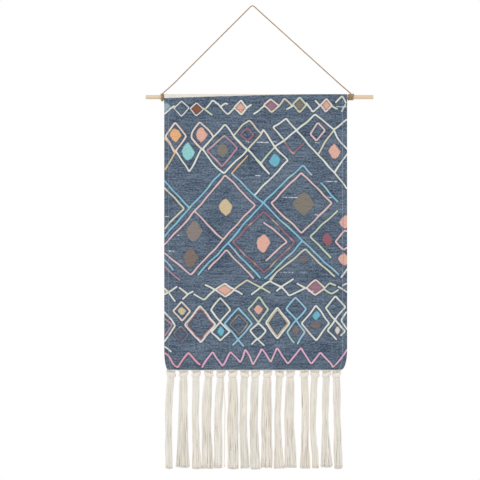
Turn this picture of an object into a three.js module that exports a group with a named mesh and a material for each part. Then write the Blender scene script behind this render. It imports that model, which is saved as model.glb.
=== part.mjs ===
// A printed canvas wall hanging: a cloth panel sleeved over a wooden dowel, hung from a jute cord,
// with fifteen knotted yarn tassels along its bottom edge.
// Millimetres, +Z up, +X right, the printed front faces -Y and the wall is on the +Y side.
// The origin is where the cord bears on its nail, on the underside of the cord's highest bend.
import * as THREE from "three";

// The dowel and the sleeve that turns on it.
const DOWEL_RADIUS = 4;
const DOWEL_LENGTH = 430;
const DOWEL_CENTRE_X = 13.3;
const DOWEL_DROP = 171.3;
const DOWEL_EDGE_RADIUS = 0.6;
const SLEEVE_CLEARANCE = 0.5;
const SLEEVE_SEAM_DROP = 24;
const SEAM_ALLOWANCE = 3;

// The cloth.
const CLOTH_THICKNESS = 1.2;
const CLOTH_WIDTH = 345;
const CLOTH_CENTRE_X = 6;
const CLOTH_DROP = 514.7;
const HEM_WIDTH = 8;
const TOUCHING_GAP = 0.3;

// Sewing thread along the sleeve seam and the hems.
const THREAD_WIDTH = 0.5;
const THREAD_DEPTH = 0.4;
const THREAD_END_INSET = 1;

// The fringe: a woven tape behind the bottom hem, and its tassels.
const TAPE_THICKNESS = 1;
const TAPE_HEIGHT = 11;
const TAPE_SHOWING = 2.2;
const TAPE_END_INSET = 6;
const TASSEL_COUNT = 15;
const TASSEL_PITCH = 22.4;
const TASSEL_HINGE_GAP = 0.8;
const KNOT_WIDTH = 18;
const KNOT_TOP_WIDTH = 10;
const KNOT_HEIGHT = 12;
const KNOT_NECK_WIDTH = 12;
const STRANDS_LENGTH = 174;
const STRANDS_END_WIDTH = 15;
const BUNDLE_FLATNESS = 0.6;
const BUNDLE_SIDES = 12;

// The hanging cord and the wraps that tie it to the dowel.
const CORD_DIAMETER = 2;
const CORD_SIDES = 8;
const CORD_STEPS = 80;
const WRAP_TURNS = 3;
const WRAP_LIFT = 0.35;
const LEFT_WRAPS_FROM_CLOTH = 0.5;
const RIGHT_WRAPS_FROM_CLOTH = 4.5;
const CORD_FOOT_OFFSET = 1.3;

// The cord's centreline between its feet on the wraps, [x, z], from left to right over the nail.
const CORD_ROUTE = [
  [-150, -146.9],
  [-125, -121.9],
  [-100, -96.9],
  [-75, -71.9],
  [-50, -46.9],
  [-25, -21.9],
  [-10, -6.9],
  [-3.5, -0.5],
  [0, 1],
  [3.4, -0.3],
  [10, -6.3],
  [30, -24.5],
  [60, -51.6],
  [90, -78.8],
  [120, -106],
  [150, -133.2],
  [168, -149.3],
];

// Measures that follow from the sizes above.
const AXIS_Z = -DOWEL_DROP;
const SLEEVE_BORE = DOWEL_RADIUS + SLEEVE_CLEARANCE;
const SLEEVE_OUTER = SLEEVE_BORE + CLOTH_THICKNESS;
const SEAM_Z = AXIS_Z - SLEEVE_SEAM_DROP;
const CLOTH_BOTTOM_Z = AXIS_Z - CLOTH_DROP;
const CLOTH_LEFT_X = CLOTH_CENTRE_X - CLOTH_WIDTH / 2;
const CLOTH_RIGHT_X = CLOTH_CENTRE_X + CLOTH_WIDTH / 2;
const CLOTH_FRONT_Y = -CLOTH_THICKNESS / 2;
const HEM_BACK_Y = CLOTH_THICKNESS * 1.5;
const TAPE_Y = HEM_BACK_Y + TOUCHING_GAP + TAPE_THICKNESS / 2;
const TAPE_BOTTOM_Z = CLOTH_BOTTOM_Z - TAPE_SHOWING;
const HINGE_Z = TAPE_BOTTOM_Z - TASSEL_HINGE_GAP;
const WRAP_WIDTH = WRAP_TURNS * CORD_DIAMETER;
const WRAP_BORE = DOWEL_RADIUS + TOUCHING_GAP;
const WRAP_OUTER = WRAP_BORE + CORD_DIAMETER + WRAP_LIFT;
const LEFT_WRAPS_X = CLOTH_LEFT_X - LEFT_WRAPS_FROM_CLOTH - WRAP_WIDTH / 2;
const RIGHT_WRAPS_X = CLOTH_RIGHT_X + RIGHT_WRAPS_FROM_CLOTH + WRAP_WIDTH / 2;
const CORD_FOOT_Z = AXIS_Z + WRAP_OUTER + TOUCHING_GAP + CORD_DIAMETER * Math.SQRT1_2 * 0.5;

// Finishes.
const pine = () => new THREE.MeshStandardMaterial({ color: 0xdcc198, roughness: 0.6, metalness: 0 });
const canvas = () => new THREE.MeshStandardMaterial({ color: 0x4b6079, roughness: 0.9, metalness: 0 });
const jute = () => new THREE.MeshStandardMaterial({ color: 0xa07a55, roughness: 0.9, metalness: 0 });
const thread = () => new THREE.MeshStandardMaterial({ color: 0x3c4a5e, roughness: 0.8, metalness: 0 });
const yarn = () => new THREE.MeshStandardMaterial({ color: 0xe4dccb, roughness: 0.95, metalness: 0 });

const hanging = new THREE.Group();

// Adds one named piece to the wall hanging.
function addPiece(name, geometry, material) {
  const mesh = new THREE.Mesh(geometry, material);
  mesh.name = name;
  hanging.add(mesh);
}

// A shape drawn as [depth y, height z] and run along X from one x to another.
function extrudeAlongX(shape, fromX, toX, curveSegments) {
  const geometry = new THREE.ExtrudeGeometry(shape, {
    depth: toX - fromX,
    bevelEnabled: false,
    curveSegments,
  });
  geometry.applyMatrix4(new THREE.Matrix4().set(0, 0, 1, fromX, 1, 0, 0, 0, 0, 1, 0, 0, 0, 0, 0, 1));
  return geometry;
}

// A box between two corners.
function boxBetween(low, high) {
  const size = low.map((value, i) => high[i] - value);
  const geometry = new THREE.BoxGeometry(...size);
  geometry.translate(...low.map((value, i) => value + size[i] / 2));
  return geometry;
}

// A turned round piece with its axis along X, from a profile of [radius, distance along X].
function turnAlongX(profile, centreX, segments) {
  const points = profile.map(([radius, along]) => new THREE.Vector2(radius, along));
  const geometry = new THREE.LatheGeometry(points, segments);
  geometry.rotateZ(-Math.PI / 2);
  geometry.translate(centreX, 0, AXIS_Z);
  return geometry;
}

// A teardrop outline round the dowel: an arc over the top, tangent down to the seam's half depth.
function teardrop(radius, seamHalfDepth, seamZ) {
  const down = AXIS_Z - seamZ;
  const reach = Math.hypot(down, seamHalfDepth);
  const side = Math.acos(radius / reach) + Math.atan2(seamHalfDepth, down);
  const outline = new THREE.Path();
  outline.absarc(0, AXIS_Z, radius, side - Math.PI / 2, 1.5 * Math.PI - side, false);
  outline.lineTo(-seamHalfDepth, seamZ);
  if (seamHalfDepth > 0) outline.lineTo(seamHalfDepth, seamZ);
  outline.closePath();
  return outline;
}

function addDowel() {
  const half = DOWEL_LENGTH / 2;
  const edge = DOWEL_EDGE_RADIUS;
  const profile = [
    [0, -half],
    [DOWEL_RADIUS - edge, -half],
    [DOWEL_RADIUS, -half + edge],
    [DOWEL_RADIUS, half - edge],
    [DOWEL_RADIUS - edge, half],
    [0, half],
  ];
  addPiece("dowel", turnAlongX(profile, DOWEL_CENTRE_X, 24), pine());
}

// The cloth turned over the dowel and stitched to itself below it.
function addRodPocket() {
  const outer = new THREE.Shape(teardrop(SLEEVE_OUTER, CLOTH_THICKNESS, SEAM_Z).getPoints(10));
  outer.holes.push(new THREE.Path(teardrop(SLEEVE_BORE, 0, SEAM_Z + SEAM_ALLOWANCE).getPoints(10)));
  addPiece("rod_pocket", extrudeAlongX(outer, CLOTH_LEFT_X, CLOTH_RIGHT_X, 10), canvas());
}

// The flat cloth below the sleeve seam, with its side hems turned to the back.
function addPanel() {
  const back = CLOTH_THICKNESS / 2;
  const plan = new THREE.Shape();
  plan.moveTo(CLOTH_LEFT_X, CLOTH_FRONT_Y);
  plan.lineTo(CLOTH_RIGHT_X, CLOTH_FRONT_Y);
  plan.lineTo(CLOTH_RIGHT_X, HEM_BACK_Y);
  plan.lineTo(CLOTH_RIGHT_X - HEM_WIDTH, HEM_BACK_Y);
  plan.lineTo(CLOTH_RIGHT_X - HEM_WIDTH, back);
  plan.lineTo(CLOTH_LEFT_X + HEM_WIDTH, back);
  plan.lineTo(CLOTH_LEFT_X + HEM_WIDTH, HEM_BACK_Y);
  plan.lineTo(CLOTH_LEFT_X, HEM_BACK_Y);
  plan.closePath();
  const height = SEAM_Z - TOUCHING_GAP - CLOTH_BOTTOM_Z;
  const geometry = new THREE.ExtrudeGeometry(plan, { depth: height, bevelEnabled: false });
  geometry.translate(0, 0, CLOTH_BOTTOM_Z);
  addPiece("tapestry_panel", geometry, canvas());
}

// One straight run of stitching on the printed face, as one thin bar of thread.
function addThread(name, low, high, clothFrontY) {
  const back = clothFrontY - TOUCHING_GAP;
  const geometry = boxBetween([low[0], back - THREAD_DEPTH, low[1]], [high[0], back, high[1]]);
  addPiece(name, geometry, thread());
}

function addStitching() {
  const half = THREAD_WIDTH / 2;
  const hemTop = SEAM_Z - 2 * TOUCHING_GAP - THREAD_WIDTH;
  const hemBottom = CLOTH_BOTTOM_Z + HEM_WIDTH;
  const left = CLOTH_LEFT_X + HEM_WIDTH;
  const right = CLOTH_RIGHT_X - HEM_WIDTH;
  const seamTop = SEAM_Z + TOUCHING_GAP + THREAD_WIDTH;
  const seamBottom = SEAM_Z + TOUCHING_GAP;
  const hemClear = half + TOUCHING_GAP;
  const seamLeft = CLOTH_LEFT_X + THREAD_END_INSET;
  const seamRight = CLOTH_RIGHT_X - THREAD_END_INSET;
  const sleeveFront = -CLOTH_THICKNESS - (SLEEVE_OUTER / SLEEVE_SEAM_DROP) * (seamTop - SEAM_Z);
  addThread("pocket_seam_thread", [seamLeft, seamBottom], [seamRight, seamTop], sleeveFront);
  addThread("left_hem_thread", [left - half, hemBottom + hemClear], [left + half, hemTop], CLOTH_FRONT_Y);
  addThread("right_hem_thread", [right - half, hemBottom + hemClear], [right + half, hemTop], CLOTH_FRONT_Y);
  addThread("bottom_hem_thread", [left, hemBottom - half], [right, hemBottom + half], CLOTH_FRONT_Y);
}

// The woven tape that the tassels hang from, sewn behind the bottom hem.
function addFringeTape() {
  const geometry = boxBetween(
    [CLOTH_LEFT_X + TAPE_END_INSET, TAPE_Y - TAPE_THICKNESS / 2, TAPE_BOTTOM_Z],
    [CLOTH_RIGHT_X - TAPE_END_INSET, TAPE_Y + TAPE_THICKNESS / 2, TAPE_BOTTOM_Z + TAPE_HEIGHT],
  );
  addPiece("fringe_tape", geometry, yarn());
}

// A round bundle of yarn with its axis along -Z, flattened front to back, from a profile of
// [half width, drop below the hinge] that starts and ends on the axis.
function bundle(profile, x) {
  const points = [...profile].reverse().map(([radius, drop]) => new THREE.Vector2(radius, -drop));
  const geometry = new THREE.LatheGeometry(points, BUNDLE_SIDES);
  geometry.rotateX(Math.PI / 2);
  geometry.scale(1, BUNDLE_FLATNESS, 1);
  geometry.translate(x, TAPE_Y, HINGE_Z);
  return geometry;
}

function addTassel(index) {
  const number = String(index + 1).padStart(2, "0");
  const x = CLOTH_CENTRE_X + (index - (TASSEL_COUNT - 1) / 2) * TASSEL_PITCH;
  const neck = KNOT_NECK_WIDTH / 2;
  const wide = KNOT_WIDTH / 2;
  const knotProfile = [
    [0, 0],
    [KNOT_TOP_WIDTH / 2, 0.4],
    [wide, KNOT_HEIGHT * 0.25],
    [wide * 0.9, KNOT_HEIGHT * 0.6],
    [neck, KNOT_HEIGHT],
    [0, KNOT_HEIGHT],
  ];
  addPiece("tassel_knot_" + number, bundle(knotProfile, x), yarn());
  const top = KNOT_HEIGHT + TOUCHING_GAP;
  const bottom = top + STRANDS_LENGTH;
  const strandsProfile = [
    [0, top],
    [neck, top],
    [STRANDS_END_WIDTH * 0.45, top + STRANDS_LENGTH * 0.3],
    [STRANDS_END_WIDTH / 2, bottom],
    [0, bottom],
  ];
  addPiece("tassel_strands_" + number, bundle(strandsProfile, x), yarn());
}

// The cord's own section, carried along its route from foot to foot.
function addHangingCord() {
  const feet = [
    [LEFT_WRAPS_X + CORD_FOOT_OFFSET, CORD_FOOT_Z],
    [RIGHT_WRAPS_X - CORD_FOOT_OFFSET, CORD_FOOT_Z],
  ];
  const points = [feet[0], ...CORD_ROUTE, feet[1]];
  const section = new THREE.Shape();
  const radius = CORD_DIAMETER / 2;
  for (let i = 0; i < CORD_SIDES; i += 1) {
    const angle = (2 * Math.PI * i) / CORD_SIDES;
    const move = i === 0 ? "moveTo" : "lineTo";
    section[move](radius * Math.cos(angle), radius * Math.sin(angle));
  }
  section.closePath();
  const route = new THREE.CatmullRomCurve3(points.map(([x, z]) => new THREE.Vector3(x, 0, z)));
  const geometry = new THREE.ExtrudeGeometry(section, { steps: CORD_STEPS, extrudePath: route });
  addPiece("hanging_cord", geometry, jute());
}

// The turns of cord that grip the dowel beside the cloth, as one ring with a bead for each turn.
function addCordWraps(name, centreX) {
  const profile = [[WRAP_BORE, -WRAP_WIDTH / 2]];
  for (let turn = 0; turn < WRAP_TURNS; turn += 1) {
    const start = (turn - WRAP_TURNS / 2) * CORD_DIAMETER;
    profile.push([WRAP_OUTER - CORD_DIAMETER * 0.35, start + CORD_DIAMETER * 0.08]);
    profile.push([WRAP_OUTER, start + CORD_DIAMETER * 0.35]);
    profile.push([WRAP_OUTER, start + CORD_DIAMETER * 0.65]);
    profile.push([WRAP_OUTER - CORD_DIAMETER * 0.35, start + CORD_DIAMETER * 0.92]);
  }
  profile.push([WRAP_BORE, WRAP_WIDTH / 2]);
  profile.push([WRAP_BORE, -WRAP_WIDTH / 2]);
  addPiece(name, turnAlongX(profile, centreX, 16), jute());
}

addDowel();
addRodPocket();
addPanel();
addStitching();
addFringeTape();
for (let index = 0; index < TASSEL_COUNT; index += 1) {
  addTassel(index);
}
addHangingCord();
addCordWraps("left_cord_knot", LEFT_WRAPS_X);
addCordWraps("right_cord_knot", RIGHT_WRAPS_X);

export default hanging;
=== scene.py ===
"""A printed canvas wall hanging: cloth on a pine dowel, a jute cord to hang it by, and a fringe of tassels.

Lengths are metres unless a name or a docstring says millimetres. The cloth faces -Y, up is +Z, and the
origin is the bend of the cord on its nail.
"""

import logging
import math
from dataclasses import dataclass, field
from enum import Enum
from typing import Any, Sequence

import bmesh
import bpy
import numpy as np
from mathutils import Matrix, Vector


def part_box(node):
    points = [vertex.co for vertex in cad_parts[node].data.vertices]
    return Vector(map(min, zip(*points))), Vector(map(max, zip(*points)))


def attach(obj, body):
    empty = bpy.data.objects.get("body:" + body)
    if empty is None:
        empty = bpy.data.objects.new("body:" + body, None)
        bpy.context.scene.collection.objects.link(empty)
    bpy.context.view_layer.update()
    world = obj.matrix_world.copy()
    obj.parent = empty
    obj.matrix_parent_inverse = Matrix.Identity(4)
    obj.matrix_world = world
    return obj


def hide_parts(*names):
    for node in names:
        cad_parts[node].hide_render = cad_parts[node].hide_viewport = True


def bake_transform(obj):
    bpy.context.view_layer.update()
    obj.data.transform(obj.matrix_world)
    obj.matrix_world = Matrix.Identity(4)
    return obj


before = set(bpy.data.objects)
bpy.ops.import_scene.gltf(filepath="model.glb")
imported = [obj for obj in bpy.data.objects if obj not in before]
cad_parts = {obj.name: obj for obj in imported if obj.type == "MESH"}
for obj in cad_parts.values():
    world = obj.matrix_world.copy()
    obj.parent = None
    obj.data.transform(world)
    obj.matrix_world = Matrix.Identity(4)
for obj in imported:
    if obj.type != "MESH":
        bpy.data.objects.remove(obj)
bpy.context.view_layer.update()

MM = 0.001
TURN = 2.0 * math.pi
DULL_SPECULAR = 0.25
LAYOUT = "layout"
LOG = logging.getLogger("wall_hanging")

Array = np.ndarray
Colour = tuple[float, float, float]
Socket = bpy.types.NodeSocket
Material = bpy.types.Material
Piece = bpy.types.Object


def linear(red: float, green: float, blue: float) -> Colour:
    """Turns a display colour, 0 to 255 a channel, into the linear light that a shader wants."""
    shares = (channel / 255.0 for channel in (red, green, blue))
    return tuple(s / 12.92 if s <= 0.04045 else ((s + 0.055) / 1.055) ** 2.4 for s in shares)


def ease(values: Array) -> Array:
    """Smooth step of an array: 0 below 0, 1 above 1, and 3t^2 - 2t^3 between."""
    share = np.clip(values, 0.0, 1.0)
    return share * share * (3.0 - 2.0 * share)


# ---- Shader maths ----


class Value:
    """A number socket that takes part in Python expressions, adding a Math node for each operation."""

    def __init__(self, recipe: "Recipe", socket: Socket) -> None:
        """Keeps the recipe that owns the socket, and the socket."""
        self.recipe = recipe
        self.socket = socket

    def math(self, operation: str, *others: "Value | float", clamp: bool = False) -> "Value":
        """One Math node on this value.

        Args:
            operation: The Math node's operation.
            others: The operation's other numbers.
            clamp: Whether the result is held between 0 and 1.

        Returns:
            The node's result.
        """
        inputs = dict(enumerate((self, *others)))
        node = self.recipe.node("ShaderNodeMath", {"operation": operation, "use_clamp": clamp}, inputs)
        return Value(self.recipe, node.outputs[0])

    def __add__(self, other: "Value | float") -> "Value":
        """This value plus another."""
        return self.math("ADD", other)

    __radd__ = __add__

    def __sub__(self, other: "Value | float") -> "Value":
        """This value less another."""
        return self.math("SUBTRACT", other)

    def __rsub__(self, other: float) -> "Value":
        """A number less this value."""
        node = self.recipe.node("ShaderNodeMath", {"operation": "SUBTRACT"}, {0: other, 1: self})
        return Value(self.recipe, node.outputs[0])

    def __mul__(self, other: "Value | float") -> "Value":
        """This value times another."""
        return self.math("MULTIPLY", other)

    __rmul__ = __mul__

    def sine(self) -> "Value":
        """The sine of this value, in radians."""
        return self.math("SINE")

    def crest(self) -> "Value":
        """The sine of this value, in radians, moved to between 0 and 1."""
        return self.sine() * 0.5 + 0.5

    def step(self, low: float, high: float) -> "Value":
        """A smooth step from 0 at low to 1 at high. With low above high it falls instead.

        Args:
            low: Where the step starts.
            high: Where the step ends.

        Returns:
            The share, from 0 to 1.
        """
        ends = (low, high, 0.0, 1.0) if low < high else (high, low, 1.0, 0.0)
        inputs = {0: self, **{place + 1: end for place, end in enumerate(ends)}}
        node = self.recipe.node("ShaderNodeMapRange", {"interpolation_type": "SMOOTHSTEP"}, inputs)
        return Value(self.recipe, node.outputs[0])


class Recipe:
    """A material being mixed: one Principled shader and the nodes that feed it."""

    def __init__(self, name: str) -> None:
        """Starts a material with nothing but a Principled shader.

        Args:
            name: The material's name.
        """
        self.material = bpy.data.materials.new(name)
        self.material.use_nodes = True
        self.tree = self.material.node_tree
        self.tree.nodes.clear()
        self.shader = self.tree.nodes.new("ShaderNodeBsdfPrincipled")
        output = self.tree.nodes.new("ShaderNodeOutputMaterial")
        self.tree.links.new(self.shader.outputs[0], output.inputs["Surface"])

    def plug(self, socket: Socket, source: Any) -> None:
        """Links a value or a socket into a socket, or sets the socket to a constant.

        Args:
            socket: The socket that is fed.
            source: A Value, a socket, a number or a colour.
        """
        if isinstance(source, Value):
            source = source.socket
        if isinstance(source, Socket):
            self.tree.links.new(source, socket)
        elif isinstance(source, tuple) and socket.type == "RGBA":
            socket.default_value = (*source[:3], 1.0)
        else:
            socket.default_value = source

    def node(self, kind: str, settings: dict[str, Any], inputs: dict[int | str, Any]) -> bpy.types.Node:
        """Adds any node: its settings first, then what its sockets hold.

        Args:
            kind: The node's type.
            settings: Its properties.
            inputs: A value or link for each socket, by index or name.

        Returns:
            The node.
        """
        made = self.tree.nodes.new(kind)
        for name, setting in settings.items():
            setattr(made, name, setting)
        for place, source in inputs.items():
            self.plug(made.inputs[place], source)
        return made

    def place(self) -> Socket:
        """The piece's own object coordinates, in metres."""
        return self.node("ShaderNodeTexCoord", {}, {}).outputs["Object"]

    def laid_out(self) -> Socket:
        """The piece's own layout map: across and along, as the piece's class sets it."""
        return self.node("ShaderNodeUVMap", {"uv_map": LAYOUT}, {}).outputs[0]

    def attribute(self, name: str) -> Value:
        """A number kept on the piece's vertices."""
        return Value(self, self.node("ShaderNodeAttribute", {"attribute_name": name}, {}).outputs["Fac"])

    def dyes(self, name: str) -> tuple[Socket, Value]:
        """A colour and its strength kept on the piece's vertices."""
        outputs = self.node("ShaderNodeAttribute", {"attribute_name": name}, {}).outputs
        return outputs["Color"], Value(self, outputs["Alpha"])

    def stretch(self, vector: Socket, by: Colour) -> Socket:
        """A vector scaled along each of its axes."""
        return self.node("ShaderNodeVectorMath", {"operation": "MULTIPLY"}, {0: vector, 1: by}).outputs[0]

    def axes(self, vector: Socket) -> tuple[Value, Value, Value]:
        """The three numbers of a vector."""
        outputs = self.node("ShaderNodeSeparateXYZ", {}, {0: vector}).outputs
        return tuple(Value(self, output) for output in outputs)

    def noise(self, vector: Socket, by: Colour, detail: float = 2.0, rough: float = 0.5) -> Value:
        """Cloudy noise, 0 to 1 around a half, with so many clouds to a unit along each axis."""
        inputs = {"Vector": self.stretch(vector, by), "Scale": 1.0, "Detail": detail, "Roughness": rough}
        return Value(self, self.node("ShaderNodeTexNoise", {}, inputs).outputs[0])

    def mix(self, share: Value | float, first: Any, second: Any) -> Socket:
        """A blend of two colours, from the first at a share of 0 to the second at 1."""
        node = self.node("ShaderNodeMix", {"data_type": "RGBA"}, {0: share, 6: first, 7: second})
        return node.outputs[2]

    def dress(self, colour: Any, roughness: Any, height: Value | None = None, depth: float = 0.0) -> Material:
        """Feeds the shader and gives the finished material.

        Args:
            colour: Base colour.
            roughness: Roughness, a constant or a value.
            height: Relief from 0 to 1, if the surface has one.
            depth: How far, in metres, the relief rises at 1.

        Returns:
            The material.
        """
        self.plug(self.shader.inputs["Base Color"], colour)
        self.plug(self.shader.inputs["Roughness"], roughness)
        self.shader.inputs["Specular IOR Level"].default_value = DULL_SPECULAR
        if height is not None:
            bump = self.node("ShaderNodeBump", {}, {"Strength": 1.0, "Distance": depth, "Height": height})
            self.plug(self.shader.inputs["Normal"], bump.outputs[0])
        return self.material


# ---- Meshes worked out as arrays ----

@dataclass
class Surface:
    """Vertices and faces that grow piece by piece, with a layout coordinate at each face corner."""

    points: list[Array] = field(default_factory=list)
    faces: list[Array] = field(default_factory=list)
    corners: list[Array] = field(default_factory=list)
    flat_faces: int = 0
    count: int = 0

    def add(self, points: Array, faces: Sequence[Array], corners: Sequence[Array]) -> None:
        """Adds vertices and the faces between them.

        Args:
            points: Vertices, (..., 3).
            faces: Arrays of faces, each (m, 3) or (m, 4), counted from the first of these vertices.
            corners: The layout coordinate of each corner, an (m, 3 or 4, 2) array for each array of faces.
        """
        self.points.append(points.reshape(-1, 3))
        self.faces.extend(face + self.count for face in faces)
        self.corners.extend(corners)
        self.count += len(self.points[-1])

    def make(self, name: str, material: Material, numbers: dict[str, Array] | None = None) -> Piece:
        """Puts the arrays into a mesh object at the origin.

        Args:
            name: The piece's name.
            material: Its finish.
            numbers: Values or colours for each vertex, by attribute name.

        Returns:
            The object, linked to the scene.
        """
        points = np.concatenate(self.points)
        sizes = np.concatenate([np.full(len(face), face.shape[1]) for face in self.faces])
        loops = np.concatenate([face.ravel() for face in self.faces])
        layout = np.concatenate([corner.reshape(-1, 2) for corner in self.corners])
        mesh = bpy.data.meshes.new(name)
        mesh.vertices.add(len(points))
        mesh.vertices.foreach_set("co", points.ravel())
        mesh.loops.add(len(loops))
        mesh.loops.foreach_set("vertex_index", loops)
        mesh.polygons.add(len(sizes))
        mesh.polygons.foreach_set("loop_start", np.cumsum(sizes) - sizes)
        mesh.polygons.foreach_set("loop_total", sizes)
        mesh.polygons.foreach_set("use_smooth", np.arange(len(sizes)) < len(sizes) - self.flat_faces)
        mesh.uv_layers.new(name=LAYOUT).data.foreach_set("uv", layout.ravel().astype(np.float32))
        for key, values in (numbers or {}).items():
            kind, channel = ("FLOAT_COLOR", "color") if values.ndim == 2 else ("FLOAT", "value")
            made = mesh.attributes.new(key, kind, "POINT")
            made.data.foreach_set(channel, values.astype(np.float32).ravel())
        mesh.update(calc_edges=True)
        mesh.validate()
        mesh.materials.append(material)
        piece = bpy.data.objects.new(name, mesh)
        bpy.context.scene.collection.objects.link(piece)
        return piece


def stacked(*parts: Array | float) -> Array:
    """Numbers spread over each other's shapes and stacked along a new last axis, such as x, y and z."""
    return np.stack(np.broadcast_arrays(*parts), -1)


def lengths_along(path: Array) -> Array:
    """The running sum of the distances between a path's points, (..., steps, axes) to (..., steps)."""
    steps = np.linalg.norm(np.diff(path, axis=-2), axis=-1)
    return np.concatenate([np.zeros((*steps.shape[:-1], 1)), np.cumsum(steps, axis=-1)], axis=-1)


def grid_faces(rows: int, columns: int, around: bool = False) -> tuple[Array, Array]:
    """Quads between the points of a grid, and which row and column each corner stands for.

    Args:
        rows: Points along the first parameter.
        columns: Points along the second.
        around: Whether the last column joins the first.

    Returns:
        The (m, 4) faces, and the (m, 4, 2) row and column of each corner, the columns not wrapped.
    """
    row, column = np.meshgrid(np.arange(rows - 1), np.arange(columns - 1 + around), indexing="ij")
    steps = np.array([[0, 0], [0, 1], [1, 1], [1, 0]])
    corners = np.stack([row, column], -1).reshape(-1, 1, 2) + steps
    faces = corners[..., 0] * columns + corners[..., 1] % columns
    return faces, corners


def end_fans(rings: int, sides: int) -> list[Array]:
    """Triangles that close the two ends of a tube, about two centre points that follow its rings.

    Args:
        rings: Rings along the tube.
        sides: Points round it.

    Returns:
        The (sides, 3) triangles of its first end and of its last.
    """
    here = np.arange(sides)
    there = (here + 1) % sides
    centre, last = rings * sides, (rings - 1) * sides
    return [stacked(centre, there, here), stacked(centre + 1, last + here, last + there)]


def add_tubes(surface: Surface, paths: Array, radii: Array | float, sides: int, reference: Colour) -> Array:
    """Adds round or lobed tubes along many paths at once.

    A point of a tube is its path point plus the radius times (cos a, sin a) in the plane square to the
    path, and each end is closed by a fan about its centre. The layout is the turn round the tube, 0 to 1,
    and the length along it in metres.

    Args:
        surface: What the tubes are added to.
        paths: Their centrelines, (tubes, steps, 3).
        radii: Their radii, which broadcast to (tubes, steps, sides).
        sides: Points round each tube.
        reference: A direction that no path runs along.

    Returns:
        The tube that each new vertex belongs to.
    """
    tubes, steps = paths.shape[:2]
    along = np.gradient(paths, axis=1)
    along /= np.linalg.norm(along, axis=2, keepdims=True)
    side = np.cross(along, np.array(reference, float))
    side /= np.linalg.norm(side, axis=2, keepdims=True)
    up = np.cross(side, along)
    angle = np.arange(sides)[:, None] * TURN / sides
    spread = np.broadcast_to(radii, (tubes, steps, sides))[..., None]
    ring = np.cos(angle) * side[:, :, None] + np.sin(angle) * up[:, :, None]
    shell = (paths[:, :, None] + spread * ring).reshape(tubes, -1, 3)
    points = np.concatenate([shell, paths[:, :1], paths[:, -1:]], axis=1)
    wall, corner = grid_faces(steps, sides, around=True)
    every = points.shape[1]
    first = (np.arange(tubes) * every)[:, None, None]
    lengths = lengths_along(paths)
    cap_turns = np.arange(sides)[:, None] + np.array([0.5, 0.0, 1.0])
    layouts = [
        stacked(corner[..., 1] / sides, lengths[:, corner[..., 0]])[:, :, ::-1],
        stacked(cap_turns / sides, lengths[:, :1, None]),
        stacked(cap_turns / sides, lengths[:, -1:, None]),
    ]
    surface.add(
        points,
        [(face[:, ::-1] + first).reshape(-1, face.shape[1]) for face in (wall, *end_fans(steps, sides))],
        [layout.reshape(-1, layout.shape[2], 2) for layout in layouts],
    )
    return np.repeat(np.arange(tubes), every)


def smooth_path(points: Array, steps: int) -> Array:
    """A Catmull-Rom curve through points, resampled at even lengths.

    Each span is the cubic whose slope at a point is half the way between its neighbours.

    Args:
        points: The points that it passes through, (n, 3).
        steps: How many points come back.

    Returns:
        Points along the curve, (steps, 3).
    """
    padded = np.concatenate([2 * points[:1] - points[1:2], points, 2 * points[-1:] - points[-2:-1]])
    share = np.linspace(0.0, 1.0, 24, endpoint=False)[:, None]
    before, here, there, after = (padded[i : len(padded) - 3 + i, None] for i in range(4))
    curve = 0.5 * (
        2 * here
        + (there - before) * share
        + (2 * before - 5 * here + 4 * there - after) * share**2
        + (3 * here - before - 3 * there + after) * share**3
    )
    dense = np.concatenate([curve.reshape(-1, 3), points[-1:]])
    lengths = lengths_along(dense)
    wanted = np.linspace(0.0, lengths[-1], steps)
    return np.stack([np.interp(wanted, lengths, dense[:, axis]) for axis in range(3)], 1)


def settle(piece: Piece, body: str, slot: str, *nodes: str) -> Piece:
    """Hangs a finished piece on its body, in place of the plain solids that it stands for.

    Args:
        piece: The finished piece.
        body: The body that it moves with.
        slot: The material slot of the record; not used.
        nodes: The plain solids that it replaces.

    Returns:
        The piece.
    """
    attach(piece, body)
    if nodes:
        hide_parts(*nodes)
    LOG.info("%s rides on %s with %d faces", piece.name, body, len(piece.data.polygons))
    return piece


# ---- Finishes ----


@dataclass(frozen=True)
class PineFinish:
    """Sanded, unvarnished pine: growth rings about an axis beside the rod, and fine fibres along it."""

    early_wood: Colour = linear(213, 198, 171)
    late_wood: Colour = linear(192, 166, 130)
    blush: Colour = linear(216, 189, 165)
    ring_spacing: float = 1.9 * MM
    heart: tuple[float, float] = (9 * MM, -5 * MM)

    def mixed(self, axis_z: float) -> Material:
        """The material, for a rod along X.

        Args:
            axis_z: The height of the rod's axis.

        Returns:
            The material.
        """
        recipe = Recipe("sanded pine")
        place = recipe.place()
        along, depth, height = recipe.axes(place)
        depth = depth - self.heart[0]
        height = height - (axis_z + self.heart[1])
        sway = recipe.noise(place, (9.0, 120.0, 120.0)) * (1.6 * MM)
        reach = (depth * depth + height * height).math("SQRT") + sway
        ring = (reach * (TURN / self.ring_spacing)).crest()
        fibre = recipe.noise(place, (60.0, 2600.0, 2600.0), 3.0)
        tone = ring * 0.45 + fibre * 0.55
        wood = recipe.mix(tone.step(0.25, 0.95), self.early_wood, self.late_wood)
        wood = recipe.mix(along.step(-0.05, 0.2) * 0.55, wood, self.blush)
        return recipe.dress(wood, fibre * 0.2 + 0.5, fibre, 0.12 * MM)


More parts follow.
